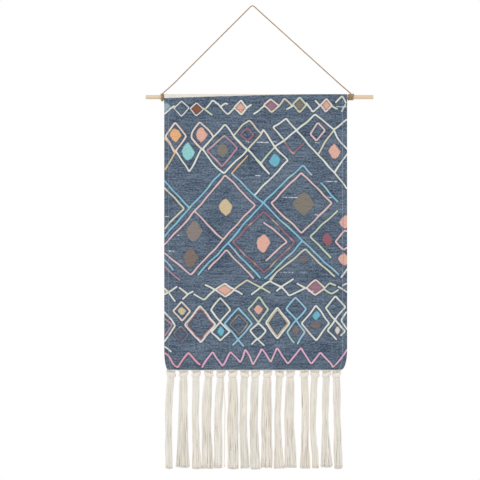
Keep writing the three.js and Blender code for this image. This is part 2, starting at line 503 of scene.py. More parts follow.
@dataclass(frozen=True)
class TwineFinish:
    """A spun or plied strand: helical fibres that follow its twist, with a painted highlight on the crowns
    and painted shade between them.
    """

    name: str
    shade: Colour
    light: Colour
    pitch: float
    plies: float
    relief: float
    tint: Colour | None = None

    def mixed(self) -> Material:
        """The material, for tubes whose vertices carry a number named tone."""
        recipe = Recipe(self.name)
        layout = recipe.laid_out()
        turn, along, _ = recipe.axes(layout)
        lean = turn * TURN * self.plies + along * (TURN / self.pitch)
        crown = lean.crest()
        place = recipe.place()
        fibre = recipe.noise(place, (1500.0, 1500.0, 500.0), 3.0, 0.6)
        patches = recipe.noise(place, (90.0, 90.0, 30.0))
        tone = recipe.attribute("tone")
        # The crown share paints highlight on the twist's crowns and shade between them; the fibre, tone and
        # patch shares are the strand's own colour.
        share = crown * 0.35 + fibre * 0.3 + tone * 0.35 + (patches - 0.5) * 0.5
        colour = recipe.mix(share.step(0.1, 0.85), self.shade, self.light)
        if self.tint is not None:
            colour = recipe.mix(tone.step(0.62, 0.95) * 0.6, colour, self.tint)
        return recipe.dress(colour, 0.92, crown * 0.7 + fibre * 0.3, self.relief)


@dataclass(frozen=True)
class CanvasFinish:
    """Cotton canvas printed on its face: a mottled slate ground, chalky lines and faded patches."""

    deep_ground: Colour = linear(36, 55, 76)
    pale_ground: Colour = linear(112, 126, 142)
    raw_cloth: Colour = linear(228, 223, 214)
    raw_shade: Colour = linear(204, 197, 184)
    rubbed: Colour = linear(216, 224, 228)
    crease: Colour = linear(142, 160, 176)
    green_cast: Colour = linear(196, 206, 160)
    warm_cast: Colour = linear(210, 188, 180)
    thread_spacing: float = 1.25 * MM

    def mixed(self) -> Material:
        """The material, for a cloth whose vertices carry the print's edges and dyes."""
        recipe = Recipe("printed canvas")
        layout = recipe.laid_out()
        across, along, _ = recipe.axes(layout)
        warp = (across * (TURN / self.thread_spacing)).sine()
        weft = (along * (TURN / self.thread_spacing)).sine()
        weave = warp * weft * 0.5 + 0.5
        grain = recipe.noise(layout, (700.0, 900.0, 1.0), 2.0, 0.6)
        slub = recipe.noise(layout, (60.0, 480.0, 1.0), 3.0, 0.65)
        streak = recipe.noise(layout, (24.0, 210.0, 1.0), 3.0, 0.6)
        fleck = recipe.noise(layout, (300.0, 380.0, 1.0), 1.0)
        cloud = recipe.noise(layout, (14.0, 22.0, 1.0), 3.0)
        tone = (slub - 0.5) * 1.2 + (streak - 0.5) * 0.8 + (fleck - 0.5) * 1.2 + (grain - 0.5) * 0.8
        tone = tone + (cloud - 0.5) * 0.6 + weave * 0.12
        ground = recipe.mix((tone + 0.44).step(0.0, 1.0), self.deep_ground, self.pale_ground)

        rough_edge = (grain - 0.5) * 1.6 + (slub - 0.5) * 1.4 + (fleck - 0.5) * 1.8
        ragged = (recipe.noise(layout, (75.0, 75.0, 1.0)) - 0.5) * 7.0
        patch_dye, patch_strength = recipe.dyes("patch_dye")
        patch_edge = recipe.attribute("patch_edge") + ragged + rough_edge
        patch = patch_edge.step(0.9, -1.1) * patch_strength
        patch = patch * (slub * 0.5 + fleck * 0.5 + 0.42).math("MINIMUM", 1.0)
        printed = recipe.mix(patch_edge.step(3.4, 1.2) * 0.25, ground, self.deep_ground)
        printed = recipe.mix(patch, printed, patch_dye)

        line_dye, line_strength = recipe.dyes("line_dye")
        line_edge = recipe.attribute("line_edge")
        halo = line_edge.step(3.4, 0.9) * 0.38
        printed = recipe.mix(halo, printed, self.deep_ground)
        tide = recipe.noise(layout, (30.0, 34.0, 1.0))
        line_dye = recipe.mix(tide.step(0.56, 0.68) * 0.45, line_dye, self.green_cast)
        line_dye = recipe.mix(tide.step(0.44, 0.34) * 0.45, line_dye, self.warm_cast)
        dry = (grain * 0.4 + slub * 0.3 + fleck * 0.3).step(0.3, 0.5) * 0.3 + 0.7
        line = (line_edge + rough_edge * 0.5).step(0.45, -0.6) * line_strength * dry
        printed = recipe.mix(line, printed, line_dye)

        crease = recipe.attribute("crease_edge").step(1.5, 0.2) * (slub * 1.2 - 0.1).math("MAXIMUM", 0.0)
        printed = recipe.mix(crease * 0.85, printed, self.crease)
        worn = recipe.attribute("worn_edge") + (fleck - 0.5) * 4.0 + (slub - 0.5) * 1.5
        printed = recipe.mix(worn.step(0.4, -0.6) * 0.85, printed, self.rubbed)

        raw = recipe.mix((tone + 0.5).step(0.0, 1.0), self.raw_shade, self.raw_cloth)
        bare = (recipe.attribute("bare_edge") + rough_edge * 0.3).step(-0.4, 0.5)
        colour = recipe.mix(bare * 0.96, printed, raw)
        relief = weave * 0.45 + grain * 0.25 + slub * 0.3
        return recipe.dress(colour, grain * 0.15 + 0.8, relief, 0.22 * MM)


@dataclass(frozen=True)
class ThreadFinish:
    """Sewing thread: a fine two ply twist, with a painted highlight on the crowns of its twist."""

    shade: Colour = linear(74, 88, 108)
    light: Colour = linear(104, 117, 137)
    pitch: float = 0.9 * MM

    def mixed(self) -> Material:
        """The material, for stitches laid out by their length."""
        recipe = Recipe("sewing thread")
        turn, along, _ = recipe.axes(recipe.laid_out())
        crown = (turn * TURN * 2.0 + along * (TURN / self.pitch)).crest()
        fibre = recipe.noise(recipe.place(), (4000.0, 4000.0, 4000.0))
        # The crowns of the twist are painted lighter, a painted highlight; the fibre noise is the thread's
        # own colour.
        colour = recipe.mix(crown * 0.6 + fibre * 0.4, self.shade, self.light)
        return recipe.dress(colour, 0.7, crown, 0.08 * MM)


@dataclass(frozen=True)
class TapeFinish:
    """Woven cotton tape: fine ribs across its width, with a painted highlight on their crests and painted
    shade in the grooves.
    """

    shade: Colour = linear(226, 220, 206)
    light: Colour = linear(246, 243, 235)
    rib: float = 1.1 * MM
    pick: float = 0.8 * MM

    def mixed(self) -> Material:
        """The material, for a tape laid out by its height and length."""
        recipe = Recipe("woven tape")
        place = recipe.place()
        across, _, height = recipe.axes(place)
        rib = (across * (TURN / self.rib)).crest()
        row = (height * (TURN / self.pick)).crest()
        fibre = recipe.noise(place, (1800.0, 1800.0, 1800.0), 3.0)
        # The rib and row crests are painted lighter, a painted highlight, and their grooves darker, a painted
        # shade; the fibre noise is the tape's own colour.
        share = rib * 0.4 + row * 0.25 + fibre * 0.35
        return recipe.dress(recipe.mix(share, self.shade, self.light), 0.9, share, 0.06 * MM)


@dataclass(frozen=True)
class FloorFinish:
    """A plain pale painted floor with a faint mottle."""

    pale: Colour = linear(244, 243, 240)
    shade: Colour = linear(236, 235, 231)

    def mixed(self) -> Material:
        """The material."""
        recipe = Recipe("pale floor")
        mottle = recipe.noise(recipe.place(), (3.0, 3.0, 3.0), 3.0)
        return recipe.dress(recipe.mix(mottle, self.pale, self.shade), 0.85)


# ---- The print ----


class Dye(Enum):
    """The print's colours, as they show on the cloth."""

    CREAM = linear(220, 221, 212)
    PALE_YELLOW = linear(206, 202, 176)
    PALE_GREEN = linear(194, 205, 180)
    BLUSH = linear(223, 207, 197)
    SKY = linear(130, 184, 206)
    PALE_SKY = linear(144, 192, 211)
    PINK = linear(220, 187, 185)
    SALMON_PINK = linear(224, 156, 170)
    ROSE = linear(222, 170, 196)
    MAUVE = linear(176, 130, 146)
    DULL_RED = linear(144, 98, 108)
    TAN = linear(206, 180, 140)
    SALMON = linear(225, 173, 154)
    ORANGE = linear(230, 174, 120)
    STRAW = linear(208, 186, 146)
    TURQUOISE = linear(146, 204, 204)
    CYAN = linear(110, 180, 198)
    RUST = linear(132, 84, 64)
    BROWN = linear(132, 110, 94)
    PLUM = linear(162, 117, 130)
    TAUPE = linear(138, 126, 116)
    OLIVE = linear(134, 122, 102)
    DARK_RED = linear(156, 92, 98)
    FAINT = linear(118, 108, 116)
    SLATE_MIST = linear(158, 182, 192)


FAR = 99.0
LINE_HALF = 1.58
SOFT_CORNER = 1.3


def span_distance(x: Array, y: Array, spans: Array) -> Array:
    """The distance from each point to the nearest of some spans.

    Args:
        x: Points' places across.
        y: Points' places down.
        spans: The two ends of each span, (spans, 2, 2).

    Returns:
        The distances.
    """
    best = np.full(x.shape, FAR)
    for (ax, ay), (bx, by) in spans:
        dx, dy = bx - ax, by - ay
        share = np.clip(((x - ax) * dx + (y - ay) * dy) / (dx * dx + dy * dy), 0.0, 1.0)
        best = np.minimum(best, np.hypot(x - ax - share * dx, y - ay - share * dy))
    return best


@dataclass(frozen=True)
class Line:
    """A hand-drawn line through points in millimetres from the cloth's left edge and its top."""

    dye: Dye
    points: tuple[tuple[float, float], ...]
    half_width: float = LINE_HALF
    strength: float = 0.92
    corner: float = 1.7

    def spans(self) -> Array:
        """The line's spans once each corner has been cut twice, which rounds it.

        Each cut puts two points in place of a corner, a set distance or a third of the span away from it.

        Returns:
            The two ends of each span, (spans, 2, 2).
        """
        path = np.array(self.points, float)
        closed = bool(np.allclose(path[0], path[-1]))
        for cut in (self.corner, self.corner * 0.36):
            start, end = path[:-1], path[1:]
            length = np.linalg.norm(end - start, axis=1, keepdims=True)
            step = (end - start) * np.minimum(cut / length, 0.33)
            inner = np.stack([start + step, end - step], 1).reshape(-1, 2)
            ends = (inner, inner[:1]) if closed else (path[:1], inner[1:-1], path[-1:])
            path = np.concatenate(ends)
        return np.stack([path[:-1], path[1:]], 1)

    def outside(self, x: Array, y: Array) -> Array:
        """How far points lie outside the line: their distance to its nearest span, less half its width."""
        return span_distance(x, y, self.spans()) - self.half_width


def lozenge(dye: Dye, x: float, y: float, wide: float, tall: float, half_width: float = LINE_HALF) -> Line:
    """A lozenge's outline as a closed line, from its centre and half its width and height in millimetres."""
    top = (x, y - tall)
    return Line(dye, (top, (x + wide, y), (x, y + tall), (x - wide, y), top), half_width, corner=1.3)


@dataclass(frozen=True)
class Patch:
    """A filled lozenge with soft corners, centred in millimetres from the cloth's left edge and its top."""

    dye: Dye
    x: float
    y: float
    wide: float
    tall: float
    strength: float = 0.9

    def outside(self, x: Array, y: Array) -> Array:
        """How far points lie outside the edge, which is where (|x| / wide)^p + (|y| / tall)^p is 1."""
        across, down = np.abs(x - self.x) / self.wide, np.abs(y - self.y) / self.tall
        reach = (across**SOFT_CORNER + down**SOFT_CORNER) ** (1 / SOFT_CORNER)
        return (reach - 1.0) * min(self.wide, self.tall) * 0.8


TOP_ROW = (
    Line(Dye.CREAM, ((0, 38), (18, 23))),
    lozenge(Dye.CREAM, 32, 27, 14.5, 14.5, 1.15),
    lozenge(Dye.CREAM, 61, 29, 13, 13, 1.1),
    Line(Dye.PALE_GREEN, ((74, 27), (91, 39))),
    Line(Dye.CREAM, ((79, 26), (91, 12), (106, 24), (120, 38), (133, 27))),
    Line(Dye.CREAM, ((106, 25), (115, 16), (119, 18))),
    lozenge(Dye.CREAM, 145, 26, 12, 14),
    Line(Dye.CREAM, ((157, 26), (165, 20))),
    Line(Dye.CREAM, ((169, 37), (189, 23))),
    lozenge(Dye.BLUSH, 202, 22, 14, 13),
    Line(Dye.PALE_YELLOW, ((215, 24), (227, 8), (240, 22))),
    Line(Dye.CREAM, ((231, 29), (243, 23))),
    lozenge(Dye.PALE_GREEN, 255, 20, 13, 15),
    Line(Dye.CREAM, ((268, 17), (281, 35), (294, 22))),
    Line(Dye.CREAM, ((285, 13), (294, 22))),
    lozenge(Dye.BLUSH, 306, 21, 11, 13),
    Line(Dye.PALE_GREEN, ((317, 22), (328, 29))),
    Line(Dye.CREAM, ((324, 16), (336, 4), (343, 16))),
    Line(Dye.PALE_GREEN, ((336, 34), (343, 20))),
)

UPPER_FIELD = (
    Line(Dye.BLUSH, ((21.5, 54), (41, 79), (20.5, 112), (2, 80), (21.5, 54))),
    Line(Dye.TAN, ((1, 84), (22, 110), (1, 143))),
    Line(Dye.CREAM, ((23, 110), (47, 147), (69, 107))),
    Line(Dye.BLUSH, ((93, 81), (82, 66), (67, 53), (52, 73), (50, 82), (73, 107))),
    Line(
        Dye.CREAM,
        ((114.5, 58), (156, 106), (113.5, 150), (89, 129), (73, 105), (91, 83), (114.5, 58)),
        1.6,
    ),
    Line(Dye.MAUVE, ((114.5, 79), (138, 101.5), (110, 137), (80.5, 107), (114.5, 79)), 1.7),
    Line(Dye.PALE_YELLOW, ((160.5, 50), (184, 75), (156, 107), (131, 79), (147, 59), (160.5, 50))),
    lozenge(Dye.DULL_RED, 157, 77, 12.5, 12.5, 1.6),
    Line(Dye.CREAM, ((157, 106), (182, 130), (197, 150))),
    Line(Dye.ORANGE, ((157, 117), (128, 150)), 1.3),
    Line(Dye.CREAM, ((184, 74), (188, 66), (208, 101), (234, 125), (171, 191)), 1.6),
    Line(Dye.PALE_GREEN, ((208, 101), (184, 129))),
    Line(Dye.CREAM, ((249, 69), (231, 46), (206, 64), (224, 84))),
    Line(Dye.CREAM, ((208, 101), (249, 69), (286, 39), (320, 67), (345, 49)), 1.6),
    Line(Dye.CREAM, ((320, 68), (333, 91), (345, 104))),
    Line(Dye.PALE_YELLOW, ((320, 68), (290, 114))),
    Line(Dye.CREAM, ((249, 69), (290, 114), (321, 149), (345, 178)), 1.6),
    Line(Dye.CREAM, ((322, 149), (345, 113))),
    Line(Dye.DULL_RED, ((226, 89), (244, 113), (264, 94)), 1.7),
    Line(Dye.PINK, ((289.5, 55), (303.5, 69), (288.5, 88), (275, 75), (289.5, 55))),
    Line(Dye.CREAM, ((174, 124), (197, 150))),
)

LATTICE = (
    Line(Dye.SKY, ((1, 165), (48, 216))),
    Line(Dye.SKY, ((106, 150), (48, 216), (1, 268))),
    Line(Dye.PALE_YELLOW, ((1, 178), (38, 216), (1, 254)), 1.6),
    Line(Dye.PINK, ((1, 284), (58, 222), (115, 153), (171, 210), (50, 342), (1, 301)), 1.55),
    Line(Dye.PINK, ((58, 222), (109, 274)), 1.55),
    Line(Dye.SKY, ((128, 151), (186, 206), (262, 278), (329, 342))),
    Line(Dye.SKY, ((186, 206), (120, 282), (64, 341))),
    Line(Dye.SKY, ((120, 282), (182, 348))),
    Line(Dye.PINK, ((84, 331), (117, 295), (169, 348)), 1.55),
    Line(Dye.SKY, ((186, 206), (261, 135), (279, 153))),
    Line(Dye.SKY, ((262, 278), (191, 349))),
    lozenge(Dye.PINK, 259, 206, 58, 57, 1.6),
    Line(Dye.SKY, ((296, 168), (328, 204))),
    Line(Dye.PALE_GREEN, ((326, 221), (276, 269), (315, 310))),
    lozenge(Dye.DULL_RED, 188, 280, 59, 58, 1.6),
    Line(Dye.PINK, ((189, 243), (233, 279), (192, 314)), 1.55),
    Line(Dye.PALE_YELLOW, ((201, 349), (213, 337), (266, 293), (321, 345))),
    Line(Dye.PINK, ((345, 260), (342, 258), (322, 278), (339, 295), (345, 291))),
    Line(Dye.CREAM, ((345, 330), (334, 347))),
    Line(Dye.SKY, ((1, 314), (17, 332))),
    Line(Dye.MAUVE, ((1, 327), (29, 351))),
)

LOWER_ROW = (
    Line(Dye.CREAM, ((0, 380), (23, 364))),
    Line(Dye.CREAM, ((0, 368), (21, 391))),
    Line(Dye.CREAM, ((28, 366), (45, 379), (36, 387))),
    Line(Dye.CREAM, ((45, 379), (54, 374))),
    Line(Dye.CREAM, ((57, 379), (76, 388), (96, 371))),
    Line(Dye.CREAM, ((77, 361), (97, 370))),
    lozenge(Dye.CREAM, 115, 370, 18, 13),
    Line(Dye.CREAM, ((133, 371), (147, 379))),
    Line(Dye.PALE_YELLOW, ((133, 370), (157, 351), (199, 376))),
    Line(Dye.CREAM, ((165, 378), (200, 353), (221, 365), (236, 382), (264, 367))),
    Line(Dye.PALE_YELLOW, ((200, 353), (213, 337))),
    Line(Dye.CREAM, ((212, 371), (221, 365), (243, 350))),
    Line(Dye.CREAM, ((251, 358), (268, 367))),
    lozenge(Dye.BLUSH, 286, 366, 18, 15),
    Line(Dye.PALE_GREEN, ((304, 366), (312, 357), (324, 362))),
    Line(Dye.PALE_GREEN, ((304, 369), (316, 378), (329, 371))),
    Line(Dye.CREAM, ((330, 365), (345, 375))),
    Line(Dye.CREAM, ((338, 363), (345, 358))),
)

CHAIN_ROW = (
    lozenge(Dye.BLUSH, 33, 410, 16, 18),
    lozenge(Dye.FAINT, 32, 454, 14, 16, 1.1),
    Line(Dye.CREAM, ((1, 413), (21, 439), (1, 468))),
    Line(Dye.MAUVE, ((1, 426), (15, 438), (2, 456))),
    lozenge(Dye.CREAM, 68, 435, 29, 35),
    lozenge(Dye.DARK_RED, 68, 435, 25.5, 31, 1.3),
    lozenge(Dye.CREAM, 106, 408, 19, 23),
    lozenge(Dye.CREAM, 106, 449, 17, 17),
    lozenge(Dye.PALE_SKY, 140, 434, 26, 30),
    lozenge(Dye.OLIVE, 141, 435, 17, 19, 1.2),
    Line(Dye.PALE_SKY, ((130, 474), (140, 464), (150, 476))),
    lozenge(Dye.PALE_GREEN, 178, 407, 19, 24),
    lozenge(Dye.CREAM, 177, 448, 16, 16),
    Line(Dye.CREAM, ((166, 473), (176, 463), (189, 474))),
    lozenge(Dye.CREAM, 214, 433, 23, 30),
    lozenge(Dye.TAN, 214, 433, 19, 25, 0.9),
    lozenge(Dye.PALE_SKY, 249, 406, 19, 22),
    Line(Dye.PALE_SKY, ((244, 469), (232, 450), (249, 428), (266, 450), (251, 472))),
    lozenge(Dye.CREAM, 286, 433, 26, 33),
    lozenge(Dye.CREAM, 323, 404, 19, 22),
    Line(Dye.CREAM, ((325, 463), (308, 448), (323, 426), (341, 450), (333, 456))),
    Line(Dye.CREAM, ((345, 413), (334, 429), (345, 446))),
    Line(Dye.CREAM, ((1, 478), (12, 487))),
)

ZIGZAG = (
    Line(Dye.SALMON_PINK, ((1, 490), (8, 495), (16, 511), (24, 517), (46, 488), (67, 511)), 1.7),
    Line(
        Dye.ROSE,
        ((71, 516), (92, 487), (109, 514), (126, 488), (143, 507), (154, 482), (168, 512), (184, 481))
        + ((202, 506), (212, 480), (234, 510), (258, 480), (278, 511), (295, 488), (322, 517), (345, 484)),
        1.6,
    ),
)

PATCHES = (
    Patch(Dye.SLATE_MIST, 4, 27, 9, 11, 0.75),
    Patch(Dye.RUST, 61, 29, 11.5, 11.5, 0.95),
    Patch(Dye.SALMON, 145, 26, 9, 11),
    Patch(Dye.PLUM, 202, 22, 11, 10, 0.85),
    Patch(Dye.OLIVE, 255, 20, 10, 12, 0.8),
    Patch(Dye.SALMON, 306, 21, 8, 10),
    Patch(Dye.ORANGE, 20.5, 78, 11, 13),
    Patch(Dye.TURQUOISE, 45, 109, 12, 18),
    Patch(Dye.SALMON, 70, 78, 11, 15),
    Patch(Dye.OLIVE, 110, 107, 11, 14, 0.75),
    Patch(Dye.CYAN, 209, 126, 11, 12),
    Patch(Dye.SALMON, 321, 109, 11, 14),
    Patch(Dye.STRAW, 116, 214, 13, 17),
    Patch(Dye.TAUPE, 56, 260, 16, 20, 0.85),
    Patch(Dye.BROWN, 49, 309, 14, 20, 0.75),
    Patch(Dye.OLIVE, 263, 207, 20, 22, 0.75),
    Patch(Dye.SALMON, 187, 282, 14, 18),
    Patch(Dye.BROWN, 264, 313, 9, 9, 0.45),
    Patch(Dye.DARK_RED, 308, 276, 10, 13, 0.8),
    Patch(Dye.SALMON, 342, 243, 11, 12),
    Patch(Dye.SALMON, 340, 312, 10, 12),
    Patch(Dye.SALMON, 1, 375, 7, 7),
    Patch(Dye.SALMON, 115, 370, 14, 10),
    Patch(Dye.PLUM, 286, 366, 14, 12, 0.8),
    Patch(Dye.STRAW, 33, 410, 7, 7.5),
    Patch(Dye.FAINT, 32, 454, 10, 12, 0.15),
    Patch(Dye.CYAN, 107, 449, 7, 8),
    Patch(Dye.SALMON, 178, 407, 9, 9, 0.85),
    Patch(Dye.BROWN, 249, 447, 7, 8, 0.6),
    Patch(Dye.CYAN, 287, 419, 9.5, 8),
    Patch(Dye.BROWN, 286, 437, 9, 7, 0.6),
    Patch(Dye.BLUSH, 326, 446, 6, 7, 0.9),
)

# Each streak's left end, height and right end, in millimetres.
WORN_STREAKS = (
    ((3, 297, 19), (26, 267, 33), (175, 91, 196), (171, 154, 181), (153, 90, 160), (224, 195, 251))
    + ((302, 165, 326), (218, 337, 243), (258, 337, 268), (309, 195, 316), (2, 232, 9), (96, 18, 103))
    + ((326, 24, 345), (205, 90, 214), (285, 92, 293), (284, 228, 290), (268, 372, 283), (327, 218, 333))
)


def swayed(x: Array, y: Array) -> tuple[Array, Array]:
    """Moves points a little by slow sines of their places, which gives the lines a hand-drawn sway.

    Args:
        x: Millimetres from the left edge.
        y: Millimetres from the top.

    Returns:
        The moved places.
    """
    sway_x = np.sin(y / 9.0 + 0.7 + x / 31.0) + 0.5 * np.sin(y / 4.1 + x / 17.0)
    sway_y = np.sin(x / 7.5 + 1.9 - y / 29.0) + 0.5 * np.sin(x / 4.6 - y / 13.0)
    return x + sway_x * 0.7, y + sway_y * 0.7


@dataclass
class Print:
    """Every line and patch of the print, its worn streaks, and the bare strip along its top."""

    lines: tuple[Line, ...] = TOP_ROW + UPPER_FIELD + LATTICE + LOWER_ROW + CHAIN_ROW + ZIGZAG
    patches: tuple[Patch, ...] = PATCHES
    streaks: tuple[tuple[float, float, float], ...] = WORN_STREAKS
    streak_half: float = 0.75
    streak_drop: float = 0.5
    bare_left: float = 7.7
    bare_slope: float = -1 / 32

    def nearest(self, shapes: Sequence[Line | Patch], x: Array, y: Array) -> tuple[Array, Array]:
        """How far each point lies outside the nearest of some shapes, and that shape's dye.

        Args:
            shapes: Lines or patches.
            x: Millimetres from the left edge.
            y: Millimetres from the top.

        Returns:
            Signed distances in millimetres, and (n, 4) dyes with their strength.
        """
        x, y = swayed(x, y)
        best, dyes = np.full(x.shape, FAR), np.zeros((*x.shape, 4))
        for shape in shapes:
            distance = shape.outside(x, y)
            nearer = distance < best
            best[nearer] = distance[nearer]
            dyes[nearer] = (*shape.dye.value, shape.strength)
        return best, dyes

    def worn_edges(self, x: Array, y: Array) -> Array:
        """How far each point lies outside the nearest worn streak, in millimetres."""
        spans = [((start, place), (end, place + self.streak_drop)) for start, place, end in self.streaks]
        return span_distance(x, y, np.array(spans, float)) - self.streak_half

    def bare_edges(self, x: Array, y: Array) -> Array:
        """How far each point lies above the print's slanting top edge, in millimetres."""
        return self.bare_left + self.bare_slope * x - y


# ---- The cloth ----


# Each wave's size, its pace and start across the cloth, and its drift down it.
WAVES = ((0.6, 31.0, 0.8, 0.0), (0.4, 71.0, 2.4, 3.0), (0.5, 17.0, -0.6, 2.0))


def end_to_end(*runs: tuple[Array | float, ...]) -> Array:
    """Rows of runs that each start where the one before stops, joined with each shared row once."""
    rows = [stacked(*run) for run in runs]
    return np.concatenate([rows[0][:1], *(run[1:] for run in rows)])


@dataclass
class Cloth:
    """One cut of canvas: turned over the dowel, stitched, hung, and hemmed at its sides and foot.

    The cloth is the product of two profiles. Down the cloth a path runs up the back flap, over the dowel,
    down the face, round the bottom fold and up the hem. Across the cloth a second profile runs from one side
    hem's raw edge round its fold, over the face and back round the other. A point is the path point, plus
    the second profile's x along X and its depth along the path's inward normal.
    """

    design: Print
    left: float
    right: float
    axis_z: float
    bottom: float
    thickness: float = 0.6 * MM
    sleeve_radius: float = 5.3 * MM
    seam_drop: float = 24 * MM
    flap_allowance: float = 3 * MM
    face_y: float = -0.2 * MM
    layer: float = 0.66 * MM
    bulk: float = 2.02 * MM
    bulk_reach: float = 16 * MM
    side_hem: float = 8 * MM
    bottom_hem: float = 9 * MM
    wave: float = 1.8 * MM
    left_pull: float = 7.5 * MM
    right_pull: float = 11 * MM
    left_reach: float = 75 * MM
    right_reach: float = 85 * MM
    corner_height: float = 36 * MM
    corner_curl: float = 1.4 * MM
    back_bareness: float = 9.0
    thinning: int = 4
    cells_down: tuple[int, ...] = (8, 32, 16, 296, 8, 4)
    cells_across: tuple[int, ...] = (4, 8, 216, 8, 4)

    def __post_init__(self) -> None:
        """Works out the two profiles once."""
        self._down()
        self._across()

    def _down(self) -> None:
        """The path down the cloth, as y and its growth with the layer gap, then z and its growth.

        Below the dowel the sleeve closes as cos^2 of the depth, the bottom fold is a half circle as wide as
        the layer gap, and everything else is straight.
        """
        flap, arc, throat, face, fold, hem = (np.linspace(0.0, 1.0, cells + 1) for cells in self.cells_down)
        radius, seam_z = self.sleeve_radius, self.axis_z - self.seam_drop
        drop = (1.0 - flap) * (self.seam_drop + self.flap_allowance)
        shut = np.cos(0.5 * math.pi * np.clip(drop / self.seam_drop, 0.0, 1.0)) ** 2
        throat_y = self.face_y - (radius + self.face_y) * np.cos(0.5 * math.pi * throat) ** 2
        over, under = math.pi * arc, math.pi * fold
        self.path = end_to_end(
            (self.face_y * (1 - shut) + radius * shut, 1 - shut, self.axis_z - drop, 0.0),
            (radius * np.cos(over), 0.0, self.axis_z + radius * np.sin(over), 0.0),
            (throat_y, 0.0, self.axis_z - throat * self.seam_drop, 0.0),
            (self.face_y, 0.0, seam_z + face * (self.bottom - seam_z), 0.5 * face),
            (self.face_y, 0.5 - 0.5 * np.cos(under), self.bottom, 0.5 - 0.5 * np.sin(under)),
            (self.face_y, 1.0, self.bottom + hem * self.bottom_hem, 0.5),
        )
        self.down = lengths_along(self.path[:, 0::2] + self.path[:, 1::2] * self.layer)
        ends = np.cumsum(self.cells_down)
        self.crown = self.down[ends[0] + self.cells_down[1] // 2]
        self.seam = self.down[ends[2]]
        self.fold_start = self.down[ends[3]]

    def _across(self) -> None:
        """The profile across the cloth: x, depth, and the two parts of its inward normal."""
        strip, fold, face = (np.linspace(0.0, 1.0, cells + 1) for cells in self.cells_across[:3])
        half = 0.5 * self.layer
        start = self.left + half
        turn = 0.5 * math.pi + math.pi * fold
        hem = end_to_end(
            (start + (1 - strip) * (self.side_hem - half), self.layer, 0.0, -1.0),
            (start + half * np.cos(turn), half + half * np.sin(turn), -np.cos(turn), -np.sin(turn)),
        )
        middle = stacked(start + face * (self.right - self.left - self.layer), 0.0, 0.0, 1.0)
        mirrored = hem[::-1] * [-1, 1, -1, 1] + [self.left + self.right, 0, 0, 0]
        self.profile = np.concatenate([hem, middle[1:], mirrored[1:]])
        self.across = lengths_along(self.profile[:, :2])
        self.edge = self.across[self.cells_across[0] + self.cells_across[1] // 2]

    def gap(self, x: Array) -> Array:
        """The gap between the layers of the seam and the foot, which is more over the side hems' bulk."""
        inward = np.minimum(x - self.left, self.right - x) - self.side_hem
        return self.layer + (self.bulk - self.layer) * (1.0 - ease(inward / self.bulk_reach))

    def lifted(self, x: Array, line: Array, slope: Array, reach: Array | float) -> Array:
        """Hung points that stand off a path of y and z along its inward normal, square to its slope."""
        way_y, way_z = slope / (np.hypot(*slope) + 1e-12)
        return self.hang(stacked(x, line[0] - way_z * reach, line[1] + way_y * reach))

    def sheet(self, lift: float) -> Array:
        """The whole cloth, from the product of the two profiles.

        Args:
            lift: How far along the inward normal, in metres, the points lie from the middle of the cloth.

        Returns:
            The points after hanging, (rows, columns, 3).
        """
        x, depth, normal_x, normal_depth = self.profile.T
        gap = self.gap(x)
        line = np.stack([self.path[:, i : i + 1] + self.path[:, i + 1 : i + 2] * gap for i in (0, 2)])
        slope = np.gradient(line, axis=1)
        return self.lifted(x + lift * normal_x, line, slope, depth + lift * normal_depth)

    def on_face(self, x: Array, down: Array, lift: float) -> Array:
        """Points over the cloth's face at given places.

        Args:
            x: Across, in metres in the shared frame.
            down: Along the path, in metres.
            lift: How far along the inward normal they lie, negative in front of the face.

        Returns:
            The points, (n, 3).
        """
        step = 0.2 * MM
        places = down + np.array([-step, 0.0, step])[:, None]
        y, grow_y, z, grow_z = (np.interp(places, self.down, column) for column in self.path.T)
        line = np.stack([y + grow_y * self.gap(x), z + grow_z * self.gap(x)])
        return self.lifted(x, line[:, 1], line[:, 2] - line[:, 0], lift)

    def hang(self, points: Array) -> Array:
        """Lets flat points hang: slow waves, fullest half way down, and bottom corners drawn in and back.

        The waves are a sum of sines across the cloth, each with a size, a pace, a start and a drift down it,
        and together they swell as a sine of the share of the way down. A corner is drawn in by
        1 - sqrt(1 - fall^2), which is a quarter of a circle.

        Args:
            points: Points of the flat cloth, (..., 3).

        Returns:
            The same points, hung.
        """
        x, y, z = np.moveaxis(points, -1, 0)
        seam_z = self.axis_z - self.seam_drop
        share = np.clip((seam_z - z) / (seam_z - self.bottom), 0.0, 1.05)
        waves = [size * np.sin(x * pace + start + drift * share) for size, pace, start, drift in WAVES]
        swell = self.wave * np.sin(0.92 * math.pi * share)
        fall = np.clip((self.bottom + self.corner_height - z) / self.corner_height, 0.0, 1.0)
        low = 1.0 - np.sqrt(1.0 - 0.97 * fall**2)
        near_left = np.clip(1.0 - (x - self.left) / self.left_reach, 0.0, 1.0)
        near_right = np.clip(1.0 - (self.right - x) / self.right_reach, 0.0, 1.0)
        pull = low * (self.left_pull * near_left**1.3 - self.right_pull * near_right**1.3)
        curl = low * (near_left**4 + near_right**4) * self.corner_curl
        return stacked(x + pull, y + swell * sum(waves) + curl, z)

